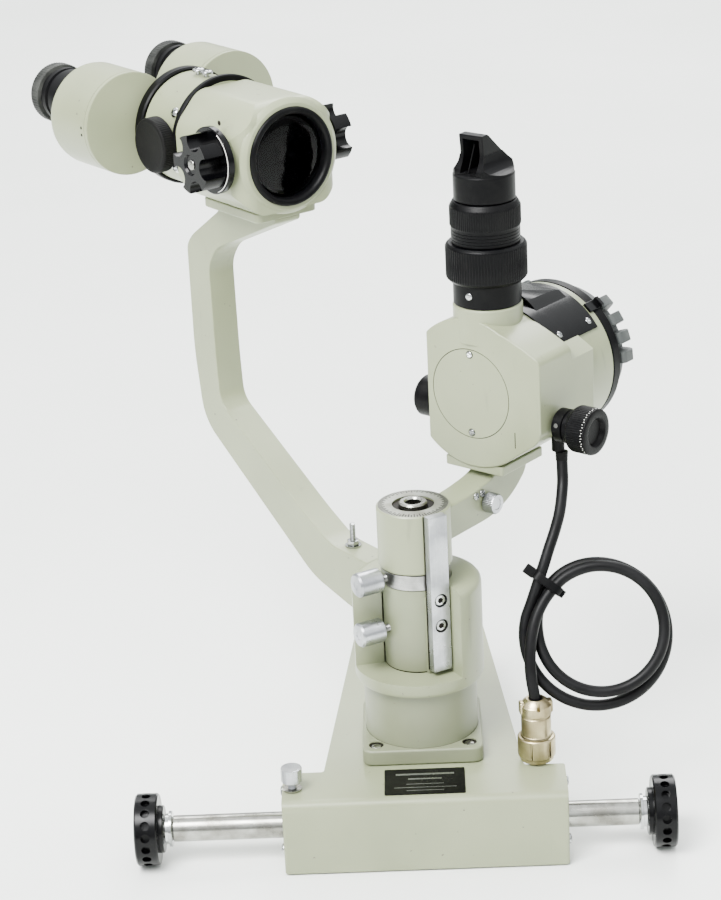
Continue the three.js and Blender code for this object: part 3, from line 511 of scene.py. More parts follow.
def lead_route():
    points = [Vector((85.6, 28.2, 204.2)), Vector((85.65, 26.3, 199.5)), Vector((85.4, 22.0, 191))]
    for x, rise, depth in [(83.1, 70.5, 0), (79.8, 59.4, -0.8), (75.7, 48.6, -2.2), (72.4, 39.5, -3.2),
                           (69.0, 30.5, -2.8)]:
        points.append(lead_point(x, rise, depth))

    def turn(cx, cv, radius, degrees, depth):
        t = math.radians(degrees)
        return lead_point(cx - radius * math.cos(t), cv - radius * math.sin(t), depth)

    def ease(value, start, end):
        t = min(max((value - start) / (end - start), 0), 1)
        return t * t * (3 - 2 * t)

    for degrees in [-28, -14] + list(range(0, 631, 15)) + [643, 656, 669]:
        inner = ease(degrees, 245, 375)
        depth = -2.4 + 5.8 * ease(degrees, -45, 45) - 6.8 * ease(degrees, 290, 430)
        points.append(turn(LOOP[0] + 2.9 * inner, -0.3 + 2.8 * inner, LOOP_RADIUS - 5 * inner, degrees,
            depth))
    for x, rise, depth in [(74.0, 22.6, -4.6), (69.3, 15.6, -6.2), (65.9, 8.0, -7.1), (63.7, -0.5, -7.2),
                           (62.6, -9.5, -6.6), (62.3, -18.0, -5.5), (62.8, -25.5, -4.4), (63.7, -31.0, -3.3)]:
        points.append(lead_point(x, rise, depth))
    points.append(Vector((64.5, -32.9, 81.0)))
    return smooth_route(points, 4)


def make_lead():
    route = lead_route()
    curve = bpy.data.curves.new("lead_cord", "CURVE")
    curve.dimensions = "3D"
    curve.bevel_depth = 3.3 * MM
    curve.bevel_resolution = 7
    curve.use_fill_caps = True
    spline = curve.splines.new("POLY")
    spline.points.add(len(route) - 1)
    for point, place in zip(spline.points, route):
        point.co = (*(place * MM), 1)
    spline.use_smooth = True
    lead = bpy.data.objects.new("lead_cord", curve)
    bpy.context.collection.objects.link(lead)
    curve.materials.append(RUBBER)
    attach(lead, "illumination")
    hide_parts("cord_upper", "cord_loop", "cord_lower")
    length = sum((b - a).length for a, b in zip(route, route[1:])) * MM
    return lead, route, length


def make_tie():
    """Strap round the three strands, its square head outside the loop and its cut end inside it."""
    outer = panel(9.6, 8.6, 2.4, 4.5)
    strap = cut(outer, panel(8.4, 7.4, 4, 4.5))
    head = softened(shifted(block(3.4, 3.6, 2.9), -12.0, -1.5, 0), 0.6)
    stub = softened(shifted(block((-0.8, 2.2), (-4.6, 2.2), 2.2), 9.4, 0, 0), 0.4)
    tie = softened(join(strap, head, stub), 0.25, 2)
    level, rise = polar(1, 38)
    out = (lead_point(-level, rise, 0) - lead_point(0, 0, 0)).normalized()
    away = (lead_point(0, 0, 1) - lead_point(0, 0, 0)).normalized()
    along = out.cross(away)
    turn = Matrix((-out, away, -along)).transposed().to_4x4()
    level, rise = polar(39.4, 48)
    middle = lead_point(LOOP[0] - level, rise, -0.1)
    return placed(moved(tie, Matrix.Translation(middle) @ turn), "lead_tie", LAMP, SATIN, "cord_tie",
        slot="rubber", turn=0)


def make_connector():
    at = (64.6, -33, 0)
    barrel = lathe([(9.2, 46.3), (9.7, 46.9), (9.7, 48.4), (10.8, 49.6), (10.8, 60.4), (10.2, 61),
        (8.9, 61.2), (8.9, 62.2), (8.5, 62.4), (8.5, 73.2), (7.9, 73.6), (7.9, 74.4)], "z", at, 96)
    grip = [block((10.2, 12), 0.5, (50.4, 60)) for _ in range(6)]
    for index, tool in enumerate(grip):
        shifted(spun(tool, 60 * index + 12), *at)
    nut = lathe([(8.3, 74.6), (8.9, 75.2), (8.9, 80.4), (8.3, 81), (7.4, 82.6), (5.2, 84.2)], "z", at, 72,
        bore=4.2)
    ears = [shifted(spun(softened(block((6.4, 9.5), 3, (75.4, 82.6)), 1.0), a), *at) for a in (8, 188)]
    slots = [shifted(spun(block((6.0, 12), 0.9, (79.4, 86)), a), *at) for a in (98, 278)]
    nut = cut(join(nut, *ears), *slots)
    body = cut(barrel, *grip)
    # Near-black ring in the neck above the grip's shoulder of the connector body: painted shade.
    seam = pipe(9.06, 8.2, 61.6, 61.9, "z", at, 72)
    a = placed(softened(body, 0.25, 2), "lead_connector_body", LAMP, NICKEL, "lead_connector", turn=0)
    b = placed(softened(nut, 0.3, 2), "lead_connector_nut", LAMP, NICKEL, turn=0)
    c = placed(seam, "lead_connector_seam", LAMP, DARK_AND_SHADE, turn=0)
    return [a, b, c]


lead, lead_line, lead_length = make_lead()
lead_extras = [make_tie()] + make_connector()
print("lead length", round(lead_length, 4))
gland = lathe([(3.7, 208.9), (3.7, 207.6), (3.5, 207.3), (3.6, 206.6), (3.55, 205.4), (3.4, 204.9),
    (3.5, 204.3), (3.4, 203.4)], "z", (85.6, 28.2, 0), 48)
placed(gland, "lead_gland", LAMP, MATT, "cord_gland", slot="rubber", turn=0)


# ---- base
def deck_half(y, inset):
    return 57 + (y + 38.5) / 203.5 * (39 - 57) - inset


def base_plan(inset):
    corner = 2.2
    side, front, back, far = 80 - inset, -75.5 + inset, -38.5 - inset, 165 - inset
    near, end = deck_half(back, inset), deck_half(far, inset)
    return rounded([(-side, front, corner), (side, front, corner), (side, back, corner), (near, back, 2),
        (end, far, 8), (-end, far, 8), (-near, back, 2), (-side, back, corner)], 6)


def make_base():
    section = rounded([(-75.5, 1), (165, 1), (165, 45, 4), (-75.5, 45, 6)], 9)
    cover = keep(prism(base_plan(0), "xy", 1, 45), prism(section, "yz", -80.5, 80.5))
    cover = softened(cover, 1.1, 3, 50)
    cover = cut(cover, prism(base_plan(3), "xy", -1, 41), rod(11.3, -90, 90, "x", AXLE, 64),
        rod(24.8, 0, 60, sides=72), rod(11.4, 0, 60, "z", STICK_AT), rod(2.7, 30, 60, "z",
        (LOCK_X, LOCK_Y, 0), 24))
    placed(cover, "base_housing", "base", CREAM, "base_cover")

    screws = []
    for side in (-1, 1):
        for y, z in ((-46, 38), (-66, 12)):
            screws.append(screw(3.1, 1.9, (side * 80, y, z), (side, 0, 0), roll=15 * side + y))
    placed(screws, "base_side_screws", "base", CHROME)

    plate = softened(panel((-22.4, 23.1), (-69.4, -39.8), (45, 45.7), 1, 4), 0.2, 2)
    placed(plate, "name_plate", "base", GLOSS)
    rules = [block((-a, a + 1), (y - b, y + b), (45.6, 45.74)) for a, y, b in ((16, -46.5, 0.9),
        (9, -52, 0.7), (10, -58, 0.3), (17, -62, 0.3), (10, -65.5, 0.3))]
    placed(rules, "name_plate_lines", "base", ALUMINIUM)

    flange = softened(panel(34.5, 34.5, (45.3, 54.7), 7, 8), 1.3, 4, 50)
    column = lathe([(32.4, 46), (32.4, 86.4), (31.6, 87.2)], sides=128)
    column = join(flange, column, rod(24, 20, 47, sides=64))
    recesses = [rod(4.3, 52.9, 60, "z", (x, y, 0), 40) for x, y in FLANGE_HOLES]
    column = cut(column, rod(14.4, 0, 100, sides=64), gathered(recesses))
    # The column and flange take the darker enamel copy, painted shade from the hub above.
    placed(column, "column", "base", SHADED_ENAMEL, "column_sleeve")
    rings = [pipe(4.25, 3.2, 52.95, 54.1, "z", (x, y, 0), 40) for x, y in FLANGE_HOLES]
    placed(rings, "flange_screw_shadows", "base", DARK_AND_SHADE)
    heads = [screw(3.15, 1.5, (x, y, 53), (0, 0, 1), "slot", 25 + 40 * (x > 0)) for x, y in FLANGE_HOLES]
    placed(heads, "flange_screws", "base", STEEL)
    # Near-black ring in the crease where the column meets the flange: painted shade.
    seam = pipe(32.55, 32.3, 54.5, 54.8, sides=128)
    placed(seam, "column_seam", "base", DARK_AND_SHADE)

    for side, name in SIDES:
        outer = side * 79.5
        bush = turned([(7.8, outer - side * 17), (11, outer - side * 17), (11, outer),
            (8.4, outer + side * 0.1), (7.8, outer - side * 0.5)], "x", AXLE, 64)
        placed(bush, "bush_" + name, "base", BRASS, "axle_bush_" + name)

    flats = [polar(6.1, a) for a in range(7, 367, 30)]
    head = softened(prism(flats, "xy", 50.6, 59.2), 0.6, 2, 20)
    washer = lathe([(5.4, 45.5), (5.4, 46.4)], bore=2.4, sides=40)
    stem = turned([(0, 34)] + [(2.4 - 0.25 * (i % 2), 34 + 0.45 * i) for i in range(38)] + [(0, 51)],
        sides=28)
    placed(shifted(join(head, stem), LOCK_X, LOCK_Y, 0), "base_lock", "base_lock", ALUMINIUM,
        "base_lock_screw")
    placed(shifted(washer, LOCK_X, LOCK_Y, 0), "base_lock_washer", "base", STEEL)


def make_axle():
    tube = lathe([(6.9, -143.3), (7.5, -142.7), (7.5, 120), (6.9, 120.6)], "x", AXLE, bore=5.3)
    placed(tube, "axle_sleeve", "axle", STEEL, "axle_tube")
    for side, face, name in ((-1, 143.6, "left"), (1, 120.9, "right")):
        ring = lathe([(9.9, side * face), (10.2, side * (face + 0.3)), (10.2, side * (face + 1.7)),
            (8.7, side * (face + 2.0)), (8.7, side * (face + 3.7)), (8.4, side * (face + 4))], "x", AXLE,
            80, bore=5.3)
        placed(ring, "collar_" + name, "axle", CHROME, "axle_collar_" + name)
    placed(lathe([(4.6, -163), (5, -162.6), (5, 139.6), (4.6, 140)], "x", AXLE, 48), "wheel_shaft",
        "wheel_set", STEEL, "axle_rod")
    for side, outer, name in ((-1, 164, "left"), (1, 141, "right")):
        inner = outer - 13
        rim = turned([(r, side * d) for r, d in [(5.3, inner - 2.8), (13, inner - 2.8), (13.5, inner - 2.3),
            (13.5, inner), (19.6, inner), (20.5, inner + 0.9), (20.5, outer - 1), (19.5, outer),
            (16.4, outer), (15.6, outer - 0.6), (14.6, outer - 3.2), (8.2, outer - 3.2), (7.6, outer - 2.4),
            (5.3, outer - 2.4)]], "x", AXLE, 144)
        holes = []
        for k in range(18):
            t = 2 * math.pi * (k + 0.3) / 18
            way = Vector((0, math.cos(t), math.sin(t)))
            hole = rod(2.5, 17.3, 24, sides=20)
            holes.append(aimed(hole, (side * (outer - 6.4), *AXLE[1:]), way))
        rim = softened(cut(rim, gathered(holes)), 0.25, 2, 45)
        placed(rim, "hand_wheel_" + name, "wheel_set", GLOSS, "wheel_" + name)
        placed(screw(4.6, 1.6, (side * (outer - 2.4), *AXLE[1:]), (side, 0, 0), "slot", 40),
            "wheel_screw_" + name, "wheel_set", CHROME)


def ball(radius, angles):
    """Points on a ball round the joystick's pivot, each angle measured from straight up."""
    return [(up, STICK_PIVOT_Z + out) for out, up in (polar(radius, a) for a in angles)]


def make_stick():
    at = STICK_AT
    socket = lathe([(17, 45.3), (17, 48.4), (16.6, 49.2), (14.9, 51.6), (14.3, 52)], "z", at, bore=11)
    placed(socket, "stick_socket", "base", SATIN, "joystick_socket")
    dome = ball(20.4, range(62, 14, -4))
    under = ball(18.6, range(20, 63, 6))
    lever = turned([(0, 38), (4, 38), (4, 64)] + under + dome + [(5.2, 68.6), (5.2, 73), (4, 73), (4, 108),
        (0, 108)], "z", at, 80)
    placed(lever, "stick_lever", "stick_lever", GLOSS, "joystick_lever")
    wave = [(8.7 + 0.35 * math.sin(1.9 * i), 86 + i) for i in range(14)]
    grip = turned([(4.3, 74), (8.6, 74), (9.6, 74.6), (10.5, 76.8), (10.1, 79),
        (8.8, 83)] + wave + [(9.6, 103), (11.4, 107.6), (11.8, 113.6), (11.2, 116), (9, 118.9), (5, 120),
        (0, 120), (0, 110), (4.3, 110)], "z", at, ribs=(40, 0.35, 11.0, 106, 114.5))
    placed(grip, "stick_grip", "stick_grip", SATIN, "joystick_grip")


make_base()
make_axle()
make_stick()


# ---- post, hub and arms
def make_post():
    post = lathe([(5.3, 84), (5.3, 22), (13.6, 22), (14, 22.4), (14, 95.2), (13.6, 95.6), (11, 95.6),
        (11, 156.4), (8, 156.4), (8, 192.8), (7.2, 193.6), (5.3, 193.6), (4.5, 192.8), (4.5, 179.6)],
        sides=96)
    placed(post, "pivot_shaft", "post", STEEL, "pivot_post")
    # A near-black disc inside the shaft's hollow top end: painted shade.
    placed(lathe([(4.3, 180), (4.3, 183.5)], sides=48), "pivot_shaft_hollow", "post", DARK_AND_SHADE)


def hub_window():
    left, _ = bearing(-117.4)
    out, side = bearing(BAR_AT)
    near = 6.9 * side
    far = 80 * out + near
    return prism([(0, 0), tuple(80 * left), (-80, -80), tuple(far), tuple(near)], "xy", 95.8, 158.4)


def make_microscope_arm():
    hub = lathe([(34.5, 87.6), (36.2, 88.3), (37, 90.1), (37, 143.8), (36.6, 145.8), (35.4, 147.3),
        (33.6, 148.2), (31.6, 148.4)], sides=144)
    side = rounded([(20, 113), (51, 113, 8), (64, 116, 8), (89, 121.5, 10), (197, 192, 14), (203, 236, 12),
        (203, 303, 5), (197, 310, 5), (166, 331, 6), (163, 337.6), (107, 337.6, 2), (108, 334.5, 2),
        (171.5, 307, 8), (180.5, 294, 6), (179.5, 236, 12), (177.5, 208, 8), (95, 160, 10), (70, 147.6, 8),
        (20, 146.6)], 8)
    arm = softened(prism(side, "yz", -9, 9), 1.5, 4, 50)
    platform = softened(panel(21, (107, 163), (337.2, 343), 4), 0.9, 3, 50)
    arm = join(hub, arm, platform)
    arm = cut(arm, rod(14.3, 80, 97, sides=72), rod(20.4, 95.8, 160, sides=96), hub_window())
    placed(arm, "microscope_arm_casting", MIC, CREAM, "microscope_arm")

    stud = turned([(0, 147.4)] + [(1.75 - 0.22 * (i % 2), 147.5 + 0.4 * i) for i in range(36)] + [(0, 162)],
        sides=24)
    nut = softened(lathe([(3.7, 148.6), (3.7, 151.4)], sides=6), 0.3, 2)
    washer = lathe([(4.7, 147.5), (4.7, 148.5)], sides=40)
    placed(shifted(gathered([stud, nut, washer]), 0, 59.5, 0), "arm_stop_stud", MIC, CHROME)


def make_sleeve():
    pad = spun(block(5.9, (-21.15, -13.4), (96.1, 142.4)), BAR_AT)
    sleeve = lathe([(19, 96.1), (19.5, 96.7), (19.5, 145.8), (19.1, 146.4)], bore=11.4, sides=144)
    hole = radial([(0, 12.5), (2.6, 12.5), (2.6, 24), (0, 24)], KNOB_AT, 120.5, 32)
    sleeve = cut(join(sleeve, pad), rod(11.4, 90, 160, sides=96), hole)
    # The sleeve takes the darker enamel copy, painted shade inside the hub's window.
    placed(sleeve, "lower_sleeve_piece", MIC, SLEEVE_SHADE_ENAMEL, "lower_sleeve")
    # Near-black ring round the sleeve's foot, where it meets the floor of the hub's window: painted shade.
    edge_shade = turned([(18.8, 95.85), (19.35, 95.85), (19.45, 96.5), (18.9, 96.6)], sides=144)
    placed(edge_shade, "sleeve_dark_edge", MIC, DARK_AND_SHADE)
    hole = radial([(0, 12.5), (2.6, 12.5), (2.6, 24), (0, 24)], KNOB_AT, 151.3, 32)
    band = cut(lathe([(19.7, 146.8), (20, 147.1), (20, 155.5), (19.7, 155.8)], bore=13.4, sides=144), hole)
    placed(band, "steel_band", MIC, BRUSHED, "clamp_band")
    # Near-black rings in the gaps above and below the band: painted shade.
    gaps = gathered([pipe(20.05, 14, 155.85, 156.3, sides=144), pipe(19.3, 14, 146.45, 146.75, sides=144)])
    placed(gaps, "band_gaps", MIC, DARK_AND_SHADE)

    bar = softened(block(5.9, (-27, -21.5), (98.6, 192.8)), 0.45, 3)
    bores = [rod(4.1, -28, -24.2, "y", (0, 0, z), 48) for z in (142, 126.5)]
    bar = cut(bar, gathered(bores))
    placed(spun(bar, BAR_AT), "index_bar_piece", MIC, ALUMINIUM, "index_bar")
    out, _ = bearing(BAR_AT)
    seat = out * 24.2
    heads = [screw(3.2, 2.2, (seat.x, seat.y, z), (out.x, out.y, 0), "socket", 12) for z in (142, 126.5)]
    placed(heads, "index_bar_screws", MIC, CHROME)
    shade = gathered([pipe(4.05, 3.25, -25.4, -24.2, "y", (0, 0, z), 48) for z in (142,
        126.5)] + [lathe([(1.84, -25.3), (1.84, -25.0)], "y", (0, 0, z), 6) for z in (142, 126.5)])
    placed(spun(shade, BAR_AT), "index_bar_bores", MIC, DARK_AND_SHADE)
    # Thin near-black strip along the gap between the index bar and the sleeve: painted shade.
    seam = spun(block((-6.25, -5.95), (-21.6, -20.9), (98.8, 192.4)), BAR_AT)
    placed(seam, "index_bar_seam", MIC, DARK_AND_SHADE)

    for name, z in (("microscope", 120.5), ("illumination", 151.3)):
        threads = [(2.3 - 0.28 * (i % 2), 14 + 0.42 * i) for i in range(24)]
        stem = radial([(0, 14)] + threads + [(0, 24.2)], KNOB_AT, z, 32)
        knob = radial([(0, 24), (6.2, 24), (7, 24.7), (7, 37.9), (6.1, 39), (2.6, 39), (2.3, 38.7),
            (0, 38.7)], KNOB_AT, z, 96)
        placed(knob, name + "_lock_knob_head", name + "_lock", ALUMINIUM, name + "_lock_knob")
        placed(stem, name + "_lock_thread", name + "_lock", BRUSHED)


def make_lamp_arm():
    cylinder = lathe([(11.4, 157), (11.4, 146.8), (13, 146.8), (13, 156.4), (20.3, 156.4), (20.9, 157.1),
        (21, 157.6), (21, 191.2), (20.3, 192), (13, 192), (12.6, 191.6), (12.6, 186)], bore=8.3, sides=144)
    side = rounded([(10, 163.5), (64, 164, 10), (84, 171.5, 10), (97, 182, 8), (99, 193), (75, 193, 6),
        (61, 187.4, 8), (41, 184.8, 8), (10, 184)], 8)
    arm = cut(softened(prism(side, "yz", -9, 9), 1.3, 4, 50), rod(18, 150, 200, sides=72))
    foot = softened(panel((-21, 20), (58, 99), (192.4, 198), 2.5), 0.7, 3, 50)
    foot = cut(foot, rod(44.8, 40, 120, "y", (0, 0, LAMP_Z), 144))
    arm = join(cylinder, arm, foot)
    placed(arm, "lamp_arm_casting", LAMP, CREAM, "lamp_arm")

    ticks = []
    for k in range(72):
        inner = 17.4 if k % 2 else 16.2
        ticks.append(spun(block(0.27, (-19.9, -inner), (192.0, 192.2)), 5 * k))
    placed(ticks, "dial_ticks", LAMP, MARK)
    # A dark brown ring fills the pocket round the shaft, under the dial face.
    placed(turned([(8.35, 186), (12.55, 186), (12.55, 190.6), (11.4, 190.9), (8.35, 190.4)], sides=96),
        "dial_pocket_ring", LAMP, DARK_AND_SHADE)
    placed(turned([(11.9, 191.85), (20.1, 191.9), (20.1, 192.06), (12.0, 192.1)], sides=128), "dial_face",
        LAMP, DIAL)

    knob = lathe([(2, 9.0), (2, 9.6), (5.6, 9.6), (6.1, 10.1), (6.1, 15.8), (5.5, 16.6), (3.4, 16.6),
        (3.1, 16.2)], "x", (0, 57.2, 175.2), ribs=(36, 0.3, 6.0, 9.8, 16))
    placed(knob, "lamp_thumb_screw", LAMP, ALUMINIUM)
    heads = [screw(2.3, 1.6, (9, y, 182.2), (1, 0, 0), roll=30 * y) for y in (46.6, 52.4)]
    placed(heads, "lamp_arm_screws", LAMP, CHROME)


make_post()
make_microscope_arm()
make_sleeve()
make_lamp_arm()


# ---- microscope
def make_head():
    low, high, half = 343.3, 406.3, 36
    front = rounded([(-22, low, 4), (22, low, 4), (half, low + 12, 9), (half, high - 19, 8),
        (18.5, high, 7), (-18.5, high, 7), (-half, high - 19, 8), (-half, low + 12, 9)], 8)
    plan = rounded([(-30, 101, 7), (30, 101, 7), (half, 115, 9), (half, 164, 1), (-half, 164, 1),
        (-half, 115, 9)], 8)
    side = rounded([(101, low), (164, low), (164, high, 1), (109, high, 7), (101, high - 6, 7)], 8)
    head = keep(prism(front, "xz", 101, 164), prism(plan, "xy", low - 1, high + 1),
        prism(side, "yz", -37, 37))
    boss = lathe([(33.6, 103), (32.4, 101.4), (30.6, 100.3)], "y", AXIS, 128)
    head = softened(join(head, boss), 0.8, 3, 28)
    head = cut(head, rod(26.5, 99, 165, "y", AXIS, 96), rod(6.3, -50, 50, "x", (0, DRUM_Y, DRUM_Z), 40))
    placed(head, "head_housing", MIC, CREAM, "microscope_head")

    bezel = turned([(24, 101.2), (24.6, 99.4), (25.6, 98.5), (26.6, 98.3), (27.8, 98.7), (28.5, 99.6),
        (28.6, 100.7), (26.2, 100.7), (26.2, 106.6), (24, 106.6)], "y", AXIS, 144)
    placed(bezel, "bezel_ring", MIC, SATIN, "objective_bezel")
    dome = [(23.7 * math.sin(math.radians(a)), 101.6 + 2.2 * (1 - math.cos(math.radians(a))))
        for a in range(0, 91, 9)]
    lens = turned(dome + [(23.7, 106.4), (0, 106.4)], "y", AXIS, 128)
    placed(lens, "front_lens", MIC, LENS, "objective_lens")
    inner = turned([(20.6, 106.7), (25.9, 106.7), (25.9, 109), (20, 109)], "y", AXIS, 96)
    baffle = cut(lathe([(26.3, 112), (26.3, 113.5)], "y", AXIS, 96), *[rod(8.2, 110, 120, "y",
        (x, 0, AXIS_Z), 48) for x in (-11, 11)])
    cells = [turned([(0, 112.0), (4, 112.3), (7.9, 113.6), (7.9, 116), (0, 116)], "y", (x, 0, AXIS_Z),
        48) for x in (-11, 11)]
    placed(inner, "lens_retainer", MIC, SATIN)
    placed(baffle, "lens_baffle", MIC, MATT)
    placed(cells, "inner_lenses", MIC, OPTIC)
    placed(screw(1.5, 0.5, (-36, 117, 397.5), (-1, 0, 0), "slot"), "head_set_screw", MIC, DARK_AND_SHADE,
        slot="steel")

    for side, name in SIDES:
        start, end = (39.9, 54) if side < 0 else (36.4, 48)
        grip = lathe([(16.8, start), (16.8, end)], sides=160)
        hollows = [rod(6.2, start - 1, end + 1, "z", (*polar(15.5, a), 0), 56) for a in range(-90, 270, 72)]
        grip = softened(cut(grip, gathered(hollows)), 1.1, 4, 40)
        dish = turned([(0, end - 1.2), (5.2, end - 1.2), (6.2, end + 0.2), (0, end + 1)], sides=64)
        grip = cut(grip, dish)
        if side < 0:
            plate = lathe([(19.0, 36.4), (19.4, 36.8), (19.4, 40), (18.9, 40.4)], sides=128)
            grip = join(grip, plate)
            band = [polar(r, a) for r, angles in ((18.5, range(-70, 63, 4)), (18.05,
                range(62, -71, -4))) for a in angles]
            line = shifted(spun(spun(prism(band, "xy", 40.3, 40.55), -90, "Z"), -90, "Y"), 0, DRUM_Y,
                DRUM_Z)
            placed(line, "magnification_line", "magnification", WHITE)
        grip = shifted(spun(grip, side * 90, "Y"), 0, DRUM_Y, DRUM_Z)
        placed(grip, "magnification_grip_" + name, "magnification", GLOSS, "magnification_knob_" + name)
        placed(screw(3, 1.1, (side * (end - 1.2), DRUM_Y, DRUM_Z), (side, 0, 0), "slot", 30),
            "magnification_screw_" + name, "magnification", STEEL)

    tube = lathe([(32.7, 164.3), (33, 164.6), (33, 202.8), (32.7, 203.1)], "y", AXIS, 160, bore=27)
    tube = cut(tube, rod(2.9, -40, -20, "x", TUBE_LOCK, 32))
    placed(tube, "tube_body", MIC, CREAM, "binocular_tube")
    collar = lathe([(35.9, 164.35), (36.6, 165), (36.6, 167.6), (35.9, 168.3)], "y", AXIS, 160, bore=33.05)
    placed(collar, "tube_front_ring", MIC, SATIN, slot="black_enamel")
    ring = lathe([(34.2, 203.4), (35, 204.4), (35, 209.5), (34.2, 210.5)], "y", AXIS, 160, bore=27)
    placed(ring, "tube_end_ring", MIC, SATIN, "tube_ring_rear", slot="black_enamel")
    heads = [screw(3.7, 2.3, (0, y, AXIS_Z + 35), (0, 0, 1), roll=y) for y in (181.8, 190.4)]
    heads += [rod(1.6, 406.8, 409.4, "z", (0, y, 0), 20) for y in (181.8, 190.4)]
    for z in (392, 360):
        way = Vector((-math.sqrt(33 ** 2 - (z - AXIS_Z) ** 2), 0, z - AXIS_Z)).normalized()
        heads.append(screw(3.1, 2.6, Vector((0, 174.5, AXIS_Z)) + 32.9 * way, way, roll=z))
    placed(heads, "tube_screws", MIC, CHROME)

    lock = turned([(0, -27.5), (2.6, -27.5), (2.6, -33.6), (8, -33.6), (8, -35.4), (15.6, -35.4),
        (16.2, -36), (16.3, -36.6), (16.3, -42.4), (15.9, -43.3), (15.1, -43.9), (14, -44), (12, -43.5),
        (0, -43.3)], "x", TUBE_LOCK, ribs=(72, 0.3, 16.0, -42.6, -36.4))
    placed(lock, "tube_lock_disc", "tube_lock", MATT, "tube_lock_knob")


def make_binocular():
    for side, name in SIDES:
        middle = (side * 36.4, 0, 381)
        eye = (side * 40.7, 0, 388.6)
        prism_body = "prism_" + name
        body = lathe([(29.9, 211), (30.6, 211.5), (30.7, 212.1), (30.7, 213.6), (30.35, 213.8),
            (30.35, 214.1), (30.7, 214.3), (30.7, 249.4), (30.2, 252), (28.7, 254), (26.4, 255)], "y",
            middle, 160)
        body = cut(body, rod(24, 214, 251, "y", middle, 64), rod(14.5, 247, 256, "y", eye, 64))
        placed(body, "prism_case_" + name, prism_body, CREAM, "prism_housing_" + name)
        # Near-black ring in the seam groove of the prism case: painted shade.
        seam = pipe(30.45, 30.2, 213.78, 214.12, "y", middle, 128)
        placed(seam, "prism_seam_" + name, prism_body, DARK_AND_SHADE)
        dots = []
        for a in (176, 184) if side < 0 else (-4, 4):
            level, rise = polar(1, a)
            way = Vector((level, 0, rise))
            dots.append(screw(0.9, 0.25, Vector((middle[0], 217, 381)) + 30.65 * way, way, "slot"))
        placed(dots, "prism_set_screws_" + name, prism_body, DARK_AND_SHADE, slot="steel")
        barrel = lathe([(16.5, 255.3), (16.5, 270.4), (15.4, 270.9), (15.4, 273.2), (16.5, 273.7),
            (16.5, 277.2), (15.2, 277.8), (15.2, 280.2), (13.5, 280.2), (13.5, 286.2)], "y", eye, 112,
            bore=11.5)
        placed(barrel, "eye_barrel_" + name, prism_body, SATIN, "eyepiece_" + name)
        ring = lathe([(17.4, 280.5), (18, 281.1), (18, 287.6), (17.4, 288.6), (15.2, 289.8), (13.4, 289.6),
            (12.2, 288.4), (11, 287.6), (11, 286.5)], "y", eye, bore=13.8, ribs=(64, 0.28, 17.9, 280.8,
            287.8))
        placed(ring, "eye_ring_" + name, "dioptre_" + name, EYE_GREY, "dioptre_ring_" + name)
        lens = turned([(0, 286.0), (6, 285.4), (11.3, 283.6), (11.3, 281.5), (0, 281.5)], "y", eye, 64)
        placed(lens, "eye_lens_" + name, prism_body, OPTIC)


# ---- lamp unit
def arc(radius, a, b, steps):
    """Points round the lamp's axis, from angle a to angle b."""
    points = [polar(radius, a + (b - a) * k / steps) for k in range(steps + 1)]
    return [(x, LAMP_Z + h) for x, h in points]


def quad(p, c, q):
    """Curve from p to q, drawn towards c; p itself is left out."""
    return [((1 - t) ** 2 * p[0] + 2 * t * (1 - t) * c[0] + t * t * q[0], (1 - t) ** 2 * p[1]
        + 2 * t * (1 - t) * c[1] + t * t * q[1]) for t in (k / 8 for k in range(1, 9))]


